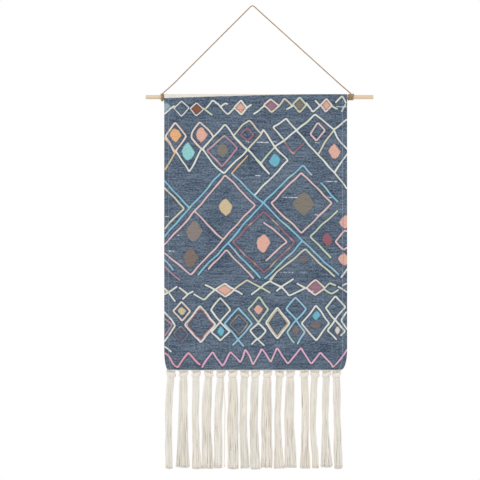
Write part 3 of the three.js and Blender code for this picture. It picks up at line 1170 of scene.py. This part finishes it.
    def build(self, material: Material) -> Piece:
        """Makes the cloth: a fine printed face, a coarser back, and a rim that stitches the two together.

        Args:
            material: The printed canvas.

        Returns:
            The piece.
        """
        thin = slice(None, None, self.thinning)
        face = self.sheet(-0.5 * self.thickness)
        back = self.sheet(0.5 * self.thickness)[thin, thin]
        face_map = stacked(self.across, self.down[:, None])
        layout = np.concatenate([face_map.reshape(-1, 2), face_map[thin, thin].reshape(-1, 2)])
        fine = face.shape[0] * face.shape[1]
        face_ids = np.arange(fine).reshape(face.shape[:2])
        back_ids = np.arange(back.shape[0] * back.shape[1]).reshape(back.shape[:2]) + fine
        rim = [
            self.rim(face_ids[0], back_ids[0], False),
            self.rim(face_ids[-1], back_ids[-1], True),
            self.rim(face_ids[:, 0], back_ids[:, 0], True),
            self.rim(face_ids[:, -1], back_ids[:, -1], False),
        ]
        face_quads, back_quads = (grid_faces(*side.shape[:2])[0] for side in (face, back))
        faces = [face_quads[:, ::-1], back_quads + fine, np.concatenate(rim)]
        points = np.concatenate([face.reshape(-1, 3), back.reshape(-1, 3)])
        surface = Surface(flat_faces=len(faces[2]))
        surface.add(points, faces, [layout[quad] for quad in faces])
        return surface.make("cloth", material, self.printed(layout, fine))

    def rim(self, fine: Array, coarse: Array, flipped: bool) -> Array:
        """Triangles between a fine edge and a coarse one, where each fourth fine point faces a coarse one.

        Args:
            fine: Vertices of the fine edge, 4k + 1 of them.
            coarse: Vertices of the coarse edge, k + 1 of them.
            flipped: Whether the triangles turn the other way.

        Returns:
            The triangles, (5k, 3).
        """
        f = [fine[place : len(fine) - self.thinning + place : self.thinning] for place in range(5)]
        here, there = coarse[:-1], coarse[1:]
        near = [(f[0], f[1], here), (f[1], f[2], here), (f[2], there, here)]
        far = [(f[2], f[3], there), (f[3], f[4], there)]
        triangles = np.concatenate([np.stack(fan, 1) for fan in near + far])
        return triangles[:, ::-1] if flipped else triangles

    def printed(self, layout: Array, face_count: int) -> dict[str, Array]:
        """The print's edges and dyes at every vertex. The back of the cloth counts as bare.

        Args:
            layout: Each vertex's length across and down the cut cloth.
            face_count: How many of the vertices, the first ones, belong to the face.

        Returns:
            Values or colours by attribute name.
        """
        top = self.crown + self.sleeve_radius * (0.5 * math.pi - 1.0)
        x, y = (layout[:, 0] - self.edge) / MM, (layout[:, 1] - top) / MM
        line_edge, line_dye = self.design.nearest(self.design.lines, x, y)
        patch_edge, patch_dye = self.design.nearest(self.design.patches, x, y)
        bare = self.design.bare_edges(x, y)
        bare[face_count:] = self.back_bareness
        hem, wide = self.side_hem / MM, (self.right - self.left) / MM
        return {
            "line_edge": line_edge,
            "line_dye": line_dye,
            "patch_edge": patch_edge,
            "patch_dye": patch_dye,
            "bare_edge": bare,
            "worn_edge": self.design.worn_edges(x, y),
            "crease_edge": np.minimum(np.abs(x - hem), np.abs(wide - hem - x)),
        }


class Run(Enum):
    """The runs of stitching, by the plain solid that each one stands for."""

    SLEEVE = "pocket_seam_thread"
    LEFT = "left_hem_thread"
    RIGHT = "right_hem_thread"
    FOOT = "bottom_hem_thread"


@dataclass
class Stitching:
    """A run of lock stitch: short threads, on the cloth's face and its back, that dip in at both ends."""

    cloth: Cloth
    run: Run
    stitch: float = 3.4 * MM
    pitch: float = 4.2 * MM
    thread_radius: float = 0.28 * MM
    inset: float = 7 * MM
    sleeve_gap: float = 0.5 * MM
    foot_gap: float = 7.5 * MM
    side_stop: float = 9 * MM

    def centres(self) -> tuple[Array, Array, bool]:
        """Where the stitches are.

        Returns:
            Their places across and down, and whether the run goes across the cloth.
        """
        cloth = self.cloth
        if self.run in (Run.LEFT, Run.RIGHT):
            down = np.arange(cloth.seam + self.pitch, cloth.fold_start - self.side_stop, self.pitch)
            side = cloth.left + self.inset if self.run is Run.LEFT else cloth.right - self.inset
            return np.full_like(down, side), down, False
        x = np.arange(cloth.left + self.inset, cloth.right - self.inset, self.pitch)
        sleeve = self.run is Run.SLEEVE
        place = cloth.seam - self.sleeve_gap if sleeve else cloth.fold_start - self.foot_gap
        return x, np.full_like(x, place), True

    def threads(self, lift: float, behind: Array | float) -> Array:
        """Centrelines of one side's stitches, each arched by the root of a cosine between its two ends.

        Args:
            lift: How far the middle of a stitch stands off the cloth, negative in front.
            behind: How far back the stitches' ground lies, one number or one for each stitch.

        Returns:
            The centrelines, (stitches, 7, 3).
        """
        x, down, level = self.centres()
        share = np.linspace(-0.5, 0.5, 7)
        step = share * self.stitch
        across = (x[:, None] + level * step).ravel()
        along = (down[:, None] + (not level) * step).ravel()
        flat = self.cloth.on_face(across, along, 0.0)
        backward = self.cloth.on_face(across, along, MM) - flat
        arch = np.cos(math.pi * share) ** 0.5
        height = lift * (arch * 1.6 - 0.6) + np.broadcast_to(behind, x.shape)[:, None]
        return (flat + backward * height.reshape(-1, 1) / MM).reshape(len(x), len(share), 3)

    def build(self, material: Material) -> Piece:
        """Makes the run of stitching.

        Args:
            material: The sewing thread.

        Returns:
            The piece.
        """
        surface = Surface()
        half, sunk = 0.5 * self.cloth.thickness, 0.6 * self.thread_radius
        x, _, level = self.centres()
        behind = half + (self.cloth.gap(x) if level else self.cloth.layer)
        for threads in (self.threads(-half - sunk, 0.0), self.threads(sunk, behind)):
            add_tubes(surface, threads, self.thread_radius, 6, (0.0, 1.0, 0.0))
        return surface.make(self.run.value + "_stitches", material)


# ---- The fringe ----


@dataclass
class FringeTape:
    """The woven tape sewn behind the foot of the cloth, with a corded lower edge and fine ribs."""

    cloth: Cloth
    left: float
    right: float
    bottom: float
    height: float = 12 * MM
    thickness: float = 0.8 * MM
    cord_radius: float = 1.0 * MM
    rib: float = 1.1 * MM
    rib_cells: int = 4
    rib_depth: float = 0.12
    clearance: float = 0.1 * MM
    nearest: float = 2.2 * MM

    def depth(self, x: Array) -> Array:
        """The tape's middle along Y: against the back of the foot, which is thicker over the side hems."""
        back = self.cloth.face_y + self.cloth.gap(x) + 0.5 * self.cloth.thickness
        return np.maximum(back + 0.5 * self.thickness + self.clearance, self.nearest)

    def section(self) -> tuple[Array, Array]:
        """The outline of the tape's cut end, anticlockwise: a round corded foot under two flat sides.

        Returns:
            How far each point lies behind the tape's middle, and above its foot.
        """
        thin = 0.5 * self.thickness
        neck = math.asin(thin / self.cord_radius)
        turn = np.linspace(neck, TURN - neck, 11)
        side = np.linspace(2.6 * self.cord_radius, self.height, 5)
        y = np.concatenate([-self.cord_radius * np.sin(turn), 0 * side + thin, [0.0], 0 * side - thin])
        foot = self.cord_radius * (1.0 + np.cos(turn))
        return y, np.concatenate([foot, side, [self.height + 0.25 * MM], side[::-1]])

    def build(self, material: Material) -> Piece:
        """Makes the tape: its section carried along the foot, its thickness rippled by a sine of the ribs.

        Args:
            material: The woven tape.

        Returns:
            The piece.
        """
        y, z = self.section()
        count = int((self.right - self.left) / self.rib * self.rib_cells)
        x = np.linspace(self.left, self.right, count)[:, None]
        ripple = 1.0 + self.rib_depth * np.sin(x * TURN / self.rib)
        points = self.cloth.hang(stacked(x, self.depth(x) + y * ripple, self.bottom + z))
        quads, corner = grid_faces(len(x), len(y), around=True)
        walls = stacked(corner[..., 1] / len(y), corner[..., 0] * self.rib / self.rib_cells)
        cap = np.zeros((len(y), 3, 2))
        surface = Surface()
        shell = np.concatenate([points.reshape(-1, 3), points[[0, -1]].mean(axis=1)])
        surface.add(shell, [quads, *end_fans(len(x), len(y))], [walls, cap, cap])
        return surface.make("fringe_tape_woven", material)


@dataclass(frozen=True)
class TasselShape:
    """How one tassel differs from its neighbours, in millimetres.

    head, middle and foot are its shifts to the right at those heights; waist and spread are its widths at
    the middle and the foot; short is how much shorter than the longest it is cut.
    """

    head: float
    middle: float
    foot: float
    waist: float
    spread: float
    short: float = 0.0


TAPE_DROP = 0.3 * MM
FIRST_SEED = 900
GOLDEN_SHARE = 0.381966
STRAY_TASSEL = 4
TASSEL_SHAPES = (
    TasselShape(-3.0, -8.5, -7.0, 13, 13.5, 1.0),
    TasselShape(-2.0, -3.0, -4.0, 18, 28, 3.0),
    TasselShape(-0.5, -2.0, 1.0, 13, 18, 0.5),
    TasselShape(1.0, -4.0, -1.0, 19, 22, 1.0),
    TasselShape(1.5, -4.0, -3.5, 15, 17, 2.0),
    TasselShape(1.5, 1.5, 2.0, 22, 21, 0.5),
    TasselShape(1.5, -1.5, 2.5, 14, 17, 1.5),
    TasselShape(-0.5, -4.0, -0.5, 15, 19, 0.0),
    TasselShape(0.0, -2.0, -1.0, 21, 22, 2.5),
    TasselShape(0.5, -3.5, -0.5, 11, 20, 1.5),
    TasselShape(-1.5, -3.5, -1.0, 19, 25, 3.0),
    TasselShape(2.5, 4.2, 4.0, 13.5, 20, 1.5),
    TasselShape(0.0, -4.0, 1.5, 10.5, 13, 2.0),
    TasselShape(-0.5, -3.0, 0.0, 12, 23, 3.5),
    TasselShape(-4.0, -2.5, -0.5, 14, 17, 1.0),
)


@dataclass
class Tassel:
    """A bundle of yarns looped through the tape, tied in one overhand knot, and hanging free below it."""

    index: int
    cloth: Cloth
    tape: FringeTape
    yarns: int = 44
    yarn_radius: float = 0.98 * MM
    uneven: float = 0.022
    looseness: float = 1.1 * MM
    neck: float = 6.4 * MM
    head_width: float = 8.2 * MM
    head_height: float = 12 * MM
    tucked: float = 2.5 * MM
    waist_share: float = 0.47
    spread_share: float = 0.48
    flatness: float = 0.52
    wraps: int = 5
    wrap_radius: float = 1.4 * MM
    wrap_tilt: float = 0.24
    first_wrap: float = 4.4 * MM
    wrapped_height: float = 5.5 * MM
    core_yarns: int = 12
    core_radius: float = 1.25 * MM
    core_drop: float = 2.8 * MM
    loop_yarns: int = 11
    loop_radius: float = 1.15 * MM
    loop_overhang: float = 0.8 * MM
    loop_gather: float = 2.2 * MM
    loop_opening: float = 1.8 * MM
    bend_above: float = 0.6 * MM
    bend_below: float = 2.4 * MM
    sideways: Colour = (1.0, 0.3, 0.0)

    def __post_init__(self) -> None:
        """Takes the tassel's place from its plain solids, and seeds its own random numbers."""
        self.number = f"{self.index + 1:02d}"
        low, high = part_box(f"tassel_knot_{self.number}")
        self.shape = TASSEL_SHAPES[self.index]
        self.hinge_x = 0.5 * (low[0] + high[0])
        self.x = self.hinge_x + self.shape.head * MM
        self.top = high[2]
        self.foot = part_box(f"tassel_strands_{self.number}")[0][2] + self.shape.short * MM
        depth = float(self.tape.depth(np.array(self.x))) + 0.4 * MM
        self.y = float(self.cloth.hang(np.array([self.x, depth, self.tape.bottom]))[1])
        self.chance = np.random.default_rng(FIRST_SEED + self.index)

    def disc(self, count: int) -> tuple[Array, Array]:
        """Evenly spread points of a unit disc: radius by the root of the count, angle by the golden turn.

        Args:
            count: How many points.

        Returns:
            Their places across and back.
        """
        order = np.arange(count)
        radius = np.sqrt((order + 0.5) / count)
        angle = order * TURN * GOLDEN_SHARE + self.chance.uniform(0, TURN)
        return radius * np.cos(angle), radius * np.sin(angle)

    def toned(self, surface: Surface, owner: Array, count: int, part: str, material: Material) -> Piece:
        """Makes a piece of so many yarns, each with a tone of its own over the vertices that it owns."""
        tones = self.chance.uniform(0, 1, count)
        return surface.make(f"tassel_{self.number}_{part}", material, {"tone": tones[owner]})

    def skirt(self, material: Material) -> Piece:
        """The yarns below the knot.

        Each yarn keeps its place of a disc whose centre and half width follow the tassel's shape down its
        length, and slow sines of its own make it wander. One tassel has a yarn that strays to the right.

        Args:
            material: The cotton yarn.

        Returns:
            The piece.
        """
        share = np.linspace(0.0, 1.0, 24)
        unit_x, unit_y = (unit[:, None] for unit in self.disc(self.yarns))
        unit_x = np.clip(1.18 * unit_x, -1.0, 1.0)
        shape = self.shape
        top = self.top - self.head_height + self.tucked
        lengths = (top - self.foot) * (1.0 - self.chance.uniform(0.0, self.uneven, self.yarns))
        waist, spread = self.waist_share * shape.waist * MM, self.spread_share * shape.spread * MM
        halves = (self.neck, 0.5 * (self.neck + waist) + 0.6 * MM, waist, 0.5 * (waist + spread), spread)
        half = np.interp(share, (0.0, 0.08, 0.45, 0.8, 1.0), halves) - self.yarn_radius
        depth = (self.neck - self.yarn_radius) * self.flatness + 0.9 * MM * share**0.6
        shifts = (shape.head, 0.4 * shape.head + 0.6 * shape.middle, shape.middle, shape.foot)
        centre = np.interp(share, (0.0, 0.18, 0.5, 1.0), shifts)
        centre = np.convolve(np.pad(centre, 2, mode="edge"), np.ones(5) / 5, mode="valid") * MM
        phase = self.chance.uniform(0, TURN, (2, self.yarns, 1))
        pace = self.chance.uniform(0.8, 2.6, (2, self.yarns, 1))
        loose = self.chance.uniform(0.3, 1.0, (self.yarns, 1)) * self.looseness
        wander = loose * ease(share * 3.0) * np.sin(phase + pace * TURN * share)
        x = self.hinge_x + unit_x * half + centre + wander[0]
        if self.index == STRAY_TASSEL:
            stray = 6.5 * ease(share * 2.5) - 2.0 * ease(share * 2.0 - 1.0)
            x[-1] = self.hinge_x + centre + half + stray * MM
        y = self.y + unit_y * depth + wander[1] * 0.6
        fullness = 1.0 + 0.75 * np.clip(1.0 - np.hypot(unit_x, unit_y), 0.0, 1.0)
        radii = self.yarn_radius * self.chance.uniform(0.86, 1.1, (self.yarns, 1)) * fullness
        radii = radii * (1.0 + 0.12 * ease(share * 12 - 11))
        surface = Surface()
        paths = stacked(x, y, top - lengths[:, None] * share)
        owner = add_tubes(surface, paths, radii[..., None], 6, self.sideways)
        return self.toned(surface, owner, self.yarns, "skirt", material)

    def knot(self, material: Material) -> Piece:
        """The overhand knot: tilted turns of yarn about the bundle, full at the top and closing to the neck.

        Each turn is an ellipse about the bundle, its plane tipped so that the front runs down to one side,
        and the half width swells and closes as a sine down the knot.

        Args:
            material: The cotton yarn.

        Returns:
            The piece.
        """
        steps = 25
        turn = np.linspace(0.0, TURN, steps)
        level = np.linspace(0.0, 1.0, self.wraps)[:, None]
        swell = np.sin(math.pi * (0.3 + 0.68 * level))
        half = self.neck - 0.4 * MM + (self.head_width - self.neck) * swell
        lean = self.wrap_tilt if self.index % 3 else -self.wrap_tilt
        tilt = lean + self.chance.uniform(-0.06, 0.06, (self.wraps, 1))
        height = self.top - self.first_wrap - level * self.wrapped_height
        across, back = half * np.cos(turn), half * self.flatness * np.sin(turn)
        turns = stacked(self.x + across, self.y + back, height + tilt * across)
        unit_x, unit_y = (unit[:, None] for unit in self.disc(self.core_yarns))
        drop = np.linspace(0.0, 1.0, steps)
        core_half = (self.head_width - 2.2 * MM) * (1 - drop) + (self.neck - 1.2 * MM) * drop
        core_z = self.top - self.core_drop - drop * (self.head_height - 1.5 * MM)
        core_y = self.y + unit_y * core_half * self.flatness * 0.8
        core = stacked(self.x + unit_x * core_half, core_y, core_z)
        surface = Surface()
        wrap_owner = add_tubes(surface, turns, self.wrap_radius, 8, (0.0, 0.0, 1.0))
        core_owner = add_tubes(surface, core, self.core_radius, 6, self.sideways) + self.wraps
        owner = np.concatenate([wrap_owner, core_owner])
        return self.toned(surface, owner, self.wraps + self.core_yarns, "knot", material)

    def loops(self, material: Material) -> Piece:
        """The yarns from the tape into the knot, in a row that the knot gathers.

        Args:
            material: The cotton yarn.

        Returns:
            The piece.
        """
        count = self.loop_yarns
        share = np.linspace(0.0, 1.0, 8)
        place = np.linspace(-1.0, 1.0, count)[:, None]
        x = self.x + place * (self.head_width + self.loop_overhang - self.loop_gather * share)
        lean = np.where(np.arange(count) % 2, 1.0, -1.0)[:, None]
        y = self.y + lean * (0.3 * MM + self.loop_opening * ease(share))
        start, end = self.cloth.bottom + 0.2 * MM, self.top - 3.6 * MM
        surface = Surface()
        paths = stacked(x, y, start + (end - start) * share)
        owner = add_tubes(surface, paths, self.loop_radius, 6, self.sideways)
        return self.toned(surface, owner, count, "loops", material)

    def build(self, material: Material) -> Piece:
        """Makes the tassel's three pieces and hangs the skirt and the knot on their bodies.

        Args:
            material: The cotton yarn.

        Returns:
            The loops, which run from the tape into the knot.
        """
        body = f"tassel_{self.number}"
        settle(self.skirt(material), body, "ecru_yarn", f"tassel_strands_{self.number}")
        settle(self.knot(material), body, "ecru_yarn", f"tassel_knot_{self.number}")
        loops = self.loops(material)
        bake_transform(loops)
        LOG.info("%s bends from cloth to %s with %d faces", loops.name, body, len(loops.data.polygons))
        return loops


# ---- The dowel and the cord ----


@dataclass
class Dowel:
    """A round pine rod with softened ends, along X."""

    left: float
    right: float
    axis_z: float
    radius: float = 4 * MM
    edge: float = 0.7 * MM
    wear: float = 0.006

    def build(self, material: Material) -> Piece:
        """Makes the rod as a profile of radius against length, turned about its axis and worn by slow sines.

        Args:
            material: The pine.

        Returns:
            The piece.
        """
        sides = 40
        corner = np.linspace(0.0, 0.5 * math.pi, 5)
        left_x = self.left + self.edge * (1 - np.sin(corner))
        left_r = self.radius - self.edge * (1 - np.cos(corner))
        flat = np.array([0.0, 0.4, 0.8]) * (self.radius - self.edge)
        body = np.linspace(self.left, self.right, 60)[1:-1]
        right_x = self.left + self.right - left_x
        x = np.concatenate([0 * flat + self.left, left_x[::-1], body, right_x, 0 * flat + self.right])
        r = np.concatenate([flat, left_r[::-1], 0 * body + self.radius, left_r, flat[::-1]])
        turn = np.arange(sides) * TURN / sides
        reach = r[:, None] * (1.0 + self.wear * np.sin(3 * turn + 1.0) * np.sin(x * 40.0)[:, None])
        quads, corners = grid_faces(len(x), sides, around=True)
        surface = Surface()
        surface.add(
            stacked(x[:, None], reach * np.cos(turn), self.axis_z + reach * np.sin(turn)),
            [quads],
            [stacked(corners[..., 1] / sides, x[corners[..., 0]])],
        )
        return weld_poles(surface.make("pine_dowel", material))


def weld_poles(piece: Piece) -> Piece:
    """Merges the points that meet on a turned piece's axis, so that its poles are closed.

    Args:
        piece: The turned piece.

    Returns:
        The same piece.
    """
    work = bmesh.new()
    work.from_mesh(piece.data)
    bmesh.ops.remove_doubles(work, verts=work.verts, dist=1e-6)
    bmesh.ops.recalc_face_normals(work, faces=work.faces)
    work.to_mesh(piece.data)
    work.free()
    return piece


def strand_radii(path: Array, radius: float, sides: int, pitch: float) -> Array:
    """Radii of a three-strand twist: three round lobes that turn once in each pitch.

    Args:
        path: The centreline, (steps, 3).
        radius: The radius over the strands.
        sides: Points round the cord.
        pitch: The length of one turn of the twist.

    Returns:
        The radii, (1, steps, sides).
    """
    along = lengths_along(path)[:, None]
    angle = np.arange(sides) * TURN / sides
    lobe = np.abs(np.cos(1.5 * (angle - along * TURN / pitch)))
    return (radius * (0.74 + 0.26 * lobe**0.6))[None]


# The cord's route across and up from the nail, in millimetres.
CORD_ROUTE_MM = (
    ((-150, -146.9), (-125, -121.9), (-100, -96.9), (-75, -71.9), (-50, -46.9), (-25, -21.9), (-10, -6.9))
    + ((-3.5, -0.5), (0, 1), (3.4, -0.3))
    + ((10, -6.3), (30, -24.5), (60, -51.6), (90, -78.8), (120, -106), (150, -133.2), (168, -149.3))
)


@dataclass
class HangingCord:
    """One jute cord from the wraps on the left of the cloth, over the nail, to the wraps on its right."""

    diameter: float = 2 * MM
    twist: float = 7.5 * MM
    sides: int = 15
    foot_offset: float = 1.3 * MM
    foot_rise: float = 1.0 * MM
    tuck: float = 2.6 * MM
    tuck_back: float = 0.8 * MM
    fibre_bulk: float = 1.12
    tone: float = 0.5
    route: tuple[tuple[float, float], ...] = CORD_ROUTE_MM

    def path(self) -> Array:
        """The cord's centreline, foot to foot."""
        low_left, high_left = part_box("left_cord_knot")
        low_right, high_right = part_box("right_cord_knot")
        foot_z = high_left[2] + self.foot_rise
        left_x = 0.5 * (low_left[0] + high_left[0]) + self.foot_offset
        right_x = 0.5 * (low_right[0] + high_right[0]) - self.foot_offset
        back, tucked_z = self.tuck_back, foot_z - self.tuck
        between = [(x * MM, 0.0, z * MM) for x, z in self.route]
        left_foot = [(left_x - back, back, tucked_z), (left_x, 0.0, foot_z)]
        right_foot = [(right_x, 0.0, foot_z), (right_x + back, back, tucked_z)]
        return smooth_path(np.array([*left_foot, *between, *right_foot]), 900)

    def build(self, material: Material) -> Piece:
        """Makes the cord.

        Args:
            material: The jute.

        Returns:
            The piece.
        """
        path = self.path()
        radii = strand_radii(path, 0.5 * self.diameter * self.fibre_bulk, self.sides, self.twist)
        surface = Surface()
        owner = add_tubes(surface, path[None], radii, self.sides, (0.0, 1.0, 0.0))
        return surface.make("jute_cord", material, {"tone": np.full(len(owner), self.tone)})


@dataclass
class CordKnot:
    """The cord's turns about the dowel, one that crosses their front, and sometimes a small knot below."""

    node: str
    inward: float
    axis_z: float
    turns: float = 3.0
    knotted_below: bool = False
    dowel_radius: float = 4 * MM
    cord_radius: float = 1.05 * MM
    clearance: float = 0.1 * MM
    fibre_bulk: float = 1.08
    pitch: float = 2.1 * MM
    twist: float = 7.5 * MM
    sides: int = 15
    # A lower tone than the hanging cord's: the wraps are painted darker, a painted shade for the shade among
    # the turns.
    tone: float = 0.35

    def coil(self, centre: float) -> Array:
        """The turns and the crossing.

        The turns are a helix about the dowel. The crossing is one more circle, whose place along the dowel
        eases back from the last turn to the first in front, and whose radius is a cord's width more there.

        Args:
            centre: The knot's middle along X.

        Returns:
            Points of the centreline, (n, 3).
        """
        half = 0.5 * self.pitch * (self.turns - 0.5)
        coil = np.linspace(0.0, self.turns, int(30 * self.turns))
        cross = np.linspace(0.0, 1.0, 40)[1:]
        back = ease((cross - 0.06) / 0.42)
        lift = np.sin(math.pi * np.clip(cross / 0.55, 0.0, 1.0)) ** 0.7
        rest = self.dowel_radius + self.cord_radius + self.clearance
        reach = rest + np.concatenate([0 * coil, 1.8 * self.cord_radius * lift])
        along = self.inward * half * np.concatenate([1.0 - 2.0 * coil / self.turns, 2.0 * back - 1.0])
        turn = np.concatenate([coil, self.turns + cross * 0.92]) * TURN
        return stacked(centre + along, -reach * np.sin(turn), self.axis_z + reach * np.cos(turn))

    def small_knot(self, centre: float) -> Array:
        """The small knot below: a trefoil, sin t + 2 sin 2t by cos t - 2 cos 2t, that weaves in depth.

        Args:
            centre: The middle of the turns along X.

        Returns:
            Points of the centreline, (n, 3).
        """
        t = np.linspace(0.0, TURN, 90)
        size = 0.82 * MM
        x = centre - 0.3 * MM + size * (np.sin(t) + 2.0 * np.sin(2.0 * t))
        z = self.axis_z - 5.4 * MM + size * (np.cos(t) - 2.0 * np.cos(2.0 * t))
        return stacked(x, -4.4 * MM - 1.1 * MM * np.sin(3.0 * t), z)

    def build(self, material: Material) -> Piece:
        """Makes the knot.

        Args:
            material: The jute.

        Returns:
            The piece.
        """
        low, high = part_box(self.node)
        centre = 0.5 * (low[0] + high[0])
        runs = [(smooth_path(self.coil(centre)[::3], int(110 * self.turns)), (1.0, 0.0, 0.0))]
        if self.knotted_below:
            runs.append((smooth_path(self.small_knot(centre), 150), (0.0, 1.0, 0.0)))
        surface = Surface()
        for run, reference in runs:
            radii = strand_radii(run, self.cord_radius * self.fibre_bulk, self.sides, self.twist)
            add_tubes(surface, run[None], radii, self.sides, reference)
        return surface.make(self.node + "_wraps", material, {"tone": np.full(surface.count, self.tone)})


# ---- The studio ----


@dataclass
class Studio:
    """A pale floor, a white surround, soft lamps and the camera straight in front."""

    aim: Colour = (-0.0236, 0.0, -0.4413)
    view_width: float = 0.907
    lens: float = 100.0
    sensor: float = 36.0
    floor_drop: float = 1.25
    floor_radius: float = 1.0

    def build(self) -> None:
        """Sets up everything that isn't the wall hanging."""
        scene = bpy.context.scene
        scene.view_settings.view_transform = "Standard"
        self.surround(scene)
        self.lamp("key lamp", (-1.5, -2.4, 0.9), 2.2, 17.0)
        self.lamp("fill lamp", (1.9, -1.9, -0.1), 2.4, 5.0)
        self.camera(scene)
        self.floor()

    def surround(self, scene: bpy.types.Scene) -> None:
        """An even white world.

        Args:
            scene: The scene that it surrounds.
        """
        world = bpy.data.worlds.new("white surround")
        world.use_nodes = True
        background = world.node_tree.nodes["Background"]
        background.inputs["Color"].default_value = (1.0, 1.0, 1.0, 1.0)
        background.inputs["Strength"].default_value = 1.0
        scene.world = world

    def lamp(self, name: str, place: Colour, size: float, watts: float) -> None:
        """A square soft lamp that looks at the middle of the cloth.

        Args:
            name: Its name.
            place: Where it stands.
            size: Its side, in metres.
            watts: Its power.
        """
        light = bpy.data.lights.new(name, "AREA")
        light.size, light.energy = size, watts
        lamp = bpy.data.objects.new(name, light)
        bpy.context.scene.collection.objects.link(lamp)
        lamp.location = place
        towards = Vector(self.aim) - Vector(place)
        lamp.rotation_euler = towards.to_track_quat("-Z", "Y").to_euler()

    def camera(self, scene: bpy.types.Scene) -> None:
        """A long lens square to the cloth, at the distance that gives the view its width.

        Args:
            scene: The scene that looks through it.
        """
        data = bpy.data.cameras.new("camera")
        data.lens, data.sensor_width = self.lens, self.sensor
        camera = bpy.data.objects.new("camera", data)
        distance = self.view_width * self.lens / self.sensor
        camera.location = (self.aim[0], self.aim[1] - distance, self.aim[2])
        camera.rotation_euler = (0.5 * math.pi, 0.0, 0.0)
        scene.collection.objects.link(camera)
        scene.camera = camera

    def floor(self) -> None:
        """A round pale floor under the wall hanging, worked out as rings about its middle."""
        rings, sides = 6, 64
        radius = np.linspace(0.0, 1.0, rings)[:, None] * self.floor_radius
        turn = np.arange(sides) * TURN / sides
        across, back = self.aim[0] + radius * np.cos(turn), self.aim[1] + radius * np.sin(turn)
        quads, corners = grid_faces(rings, sides, around=True)
        surface = Surface()
        surface.add(stacked(across, back, -self.floor_drop), [quads[:, ::-1]], [corners[:, ::-1] / sides])
        weld_poles(surface.make("pale_floor", FloorFinish().mixed()))


# ---- Putting it together ----


def hang_up() -> None:
    """Builds the wall hanging from its cord down to its tassels."""
    dowel_low, dowel_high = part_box("dowel")
    panel_low, panel_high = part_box("tapestry_panel")
    tape_low, tape_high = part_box("fringe_tape")
    axis_z = 0.5 * (dowel_low[2] + dowel_high[2])

    shade, light = linear(112, 88, 64), linear(190, 160, 124)
    jute = TwineFinish("twisted jute", shade, light, pitch=2.6 * MM, plies=1.0, relief=0.12 * MM).mixed()
    loop = HangingCord()
    cord = settle(loop.build(jute), "hanging_loop", "jute", "hanging_cord")
    left_knot = CordKnot("left_cord_knot", 1.0, axis_z, 3.0, knotted_below=True)
    right_knot = CordKnot("right_cord_knot", -1.0, axis_z, 5.0)
    knots = [
        settle(knot.build(jute), "hanging_loop", "jute", knot.node) for knot in (left_knot, right_knot)
    ]
    path = loop.path()

    dowel = Dowel(dowel_low[0], dowel_high[0], axis_z)
    settle(dowel.build(PineFinish().mixed(axis_z)), "rod", "pine", "dowel")

    cloth = Cloth(Print(), panel_low[0], panel_high[0], axis_z, panel_low[2])
    canvas = cloth.build(CanvasFinish().mixed())
    settle(canvas, "cloth", "printed_canvas", "tapestry_panel", "rod_pocket")
    thread = ThreadFinish().mixed()
    trims = [
        settle(Stitching(cloth, run).build(thread), "cloth", "sewing_thread", run.value) for run in Run
    ]
    tape = FringeTape(cloth, tape_low[0], tape_high[0], tape_low[2] - TAPE_DROP)
    trims.append(settle(tape.build(TapeFinish().mixed()), "cloth", "ecru_yarn", "fringe_tape"))

    shade, light, tint = linear(214, 209, 198), linear(237, 234, 227), linear(230, 214, 198)
    cotton = TwineFinish("cotton yarn", shade, light, pitch=3.4 * MM, plies=1.0, relief=0.2 * MM, tint=tint)
    yarn = cotton.mixed()
    trims += [Tassel(index, cloth, tape).build(yarn) for index in range(len(TASSEL_SHAPES))]


def main() -> None:
    """Sets up the studio and builds the wall hanging."""
    logging.basicConfig(level=logging.INFO, format="%(name)s: %(message)s")
    Studio().build()
    hang_up()


if __name__ == "__main__":
    main()
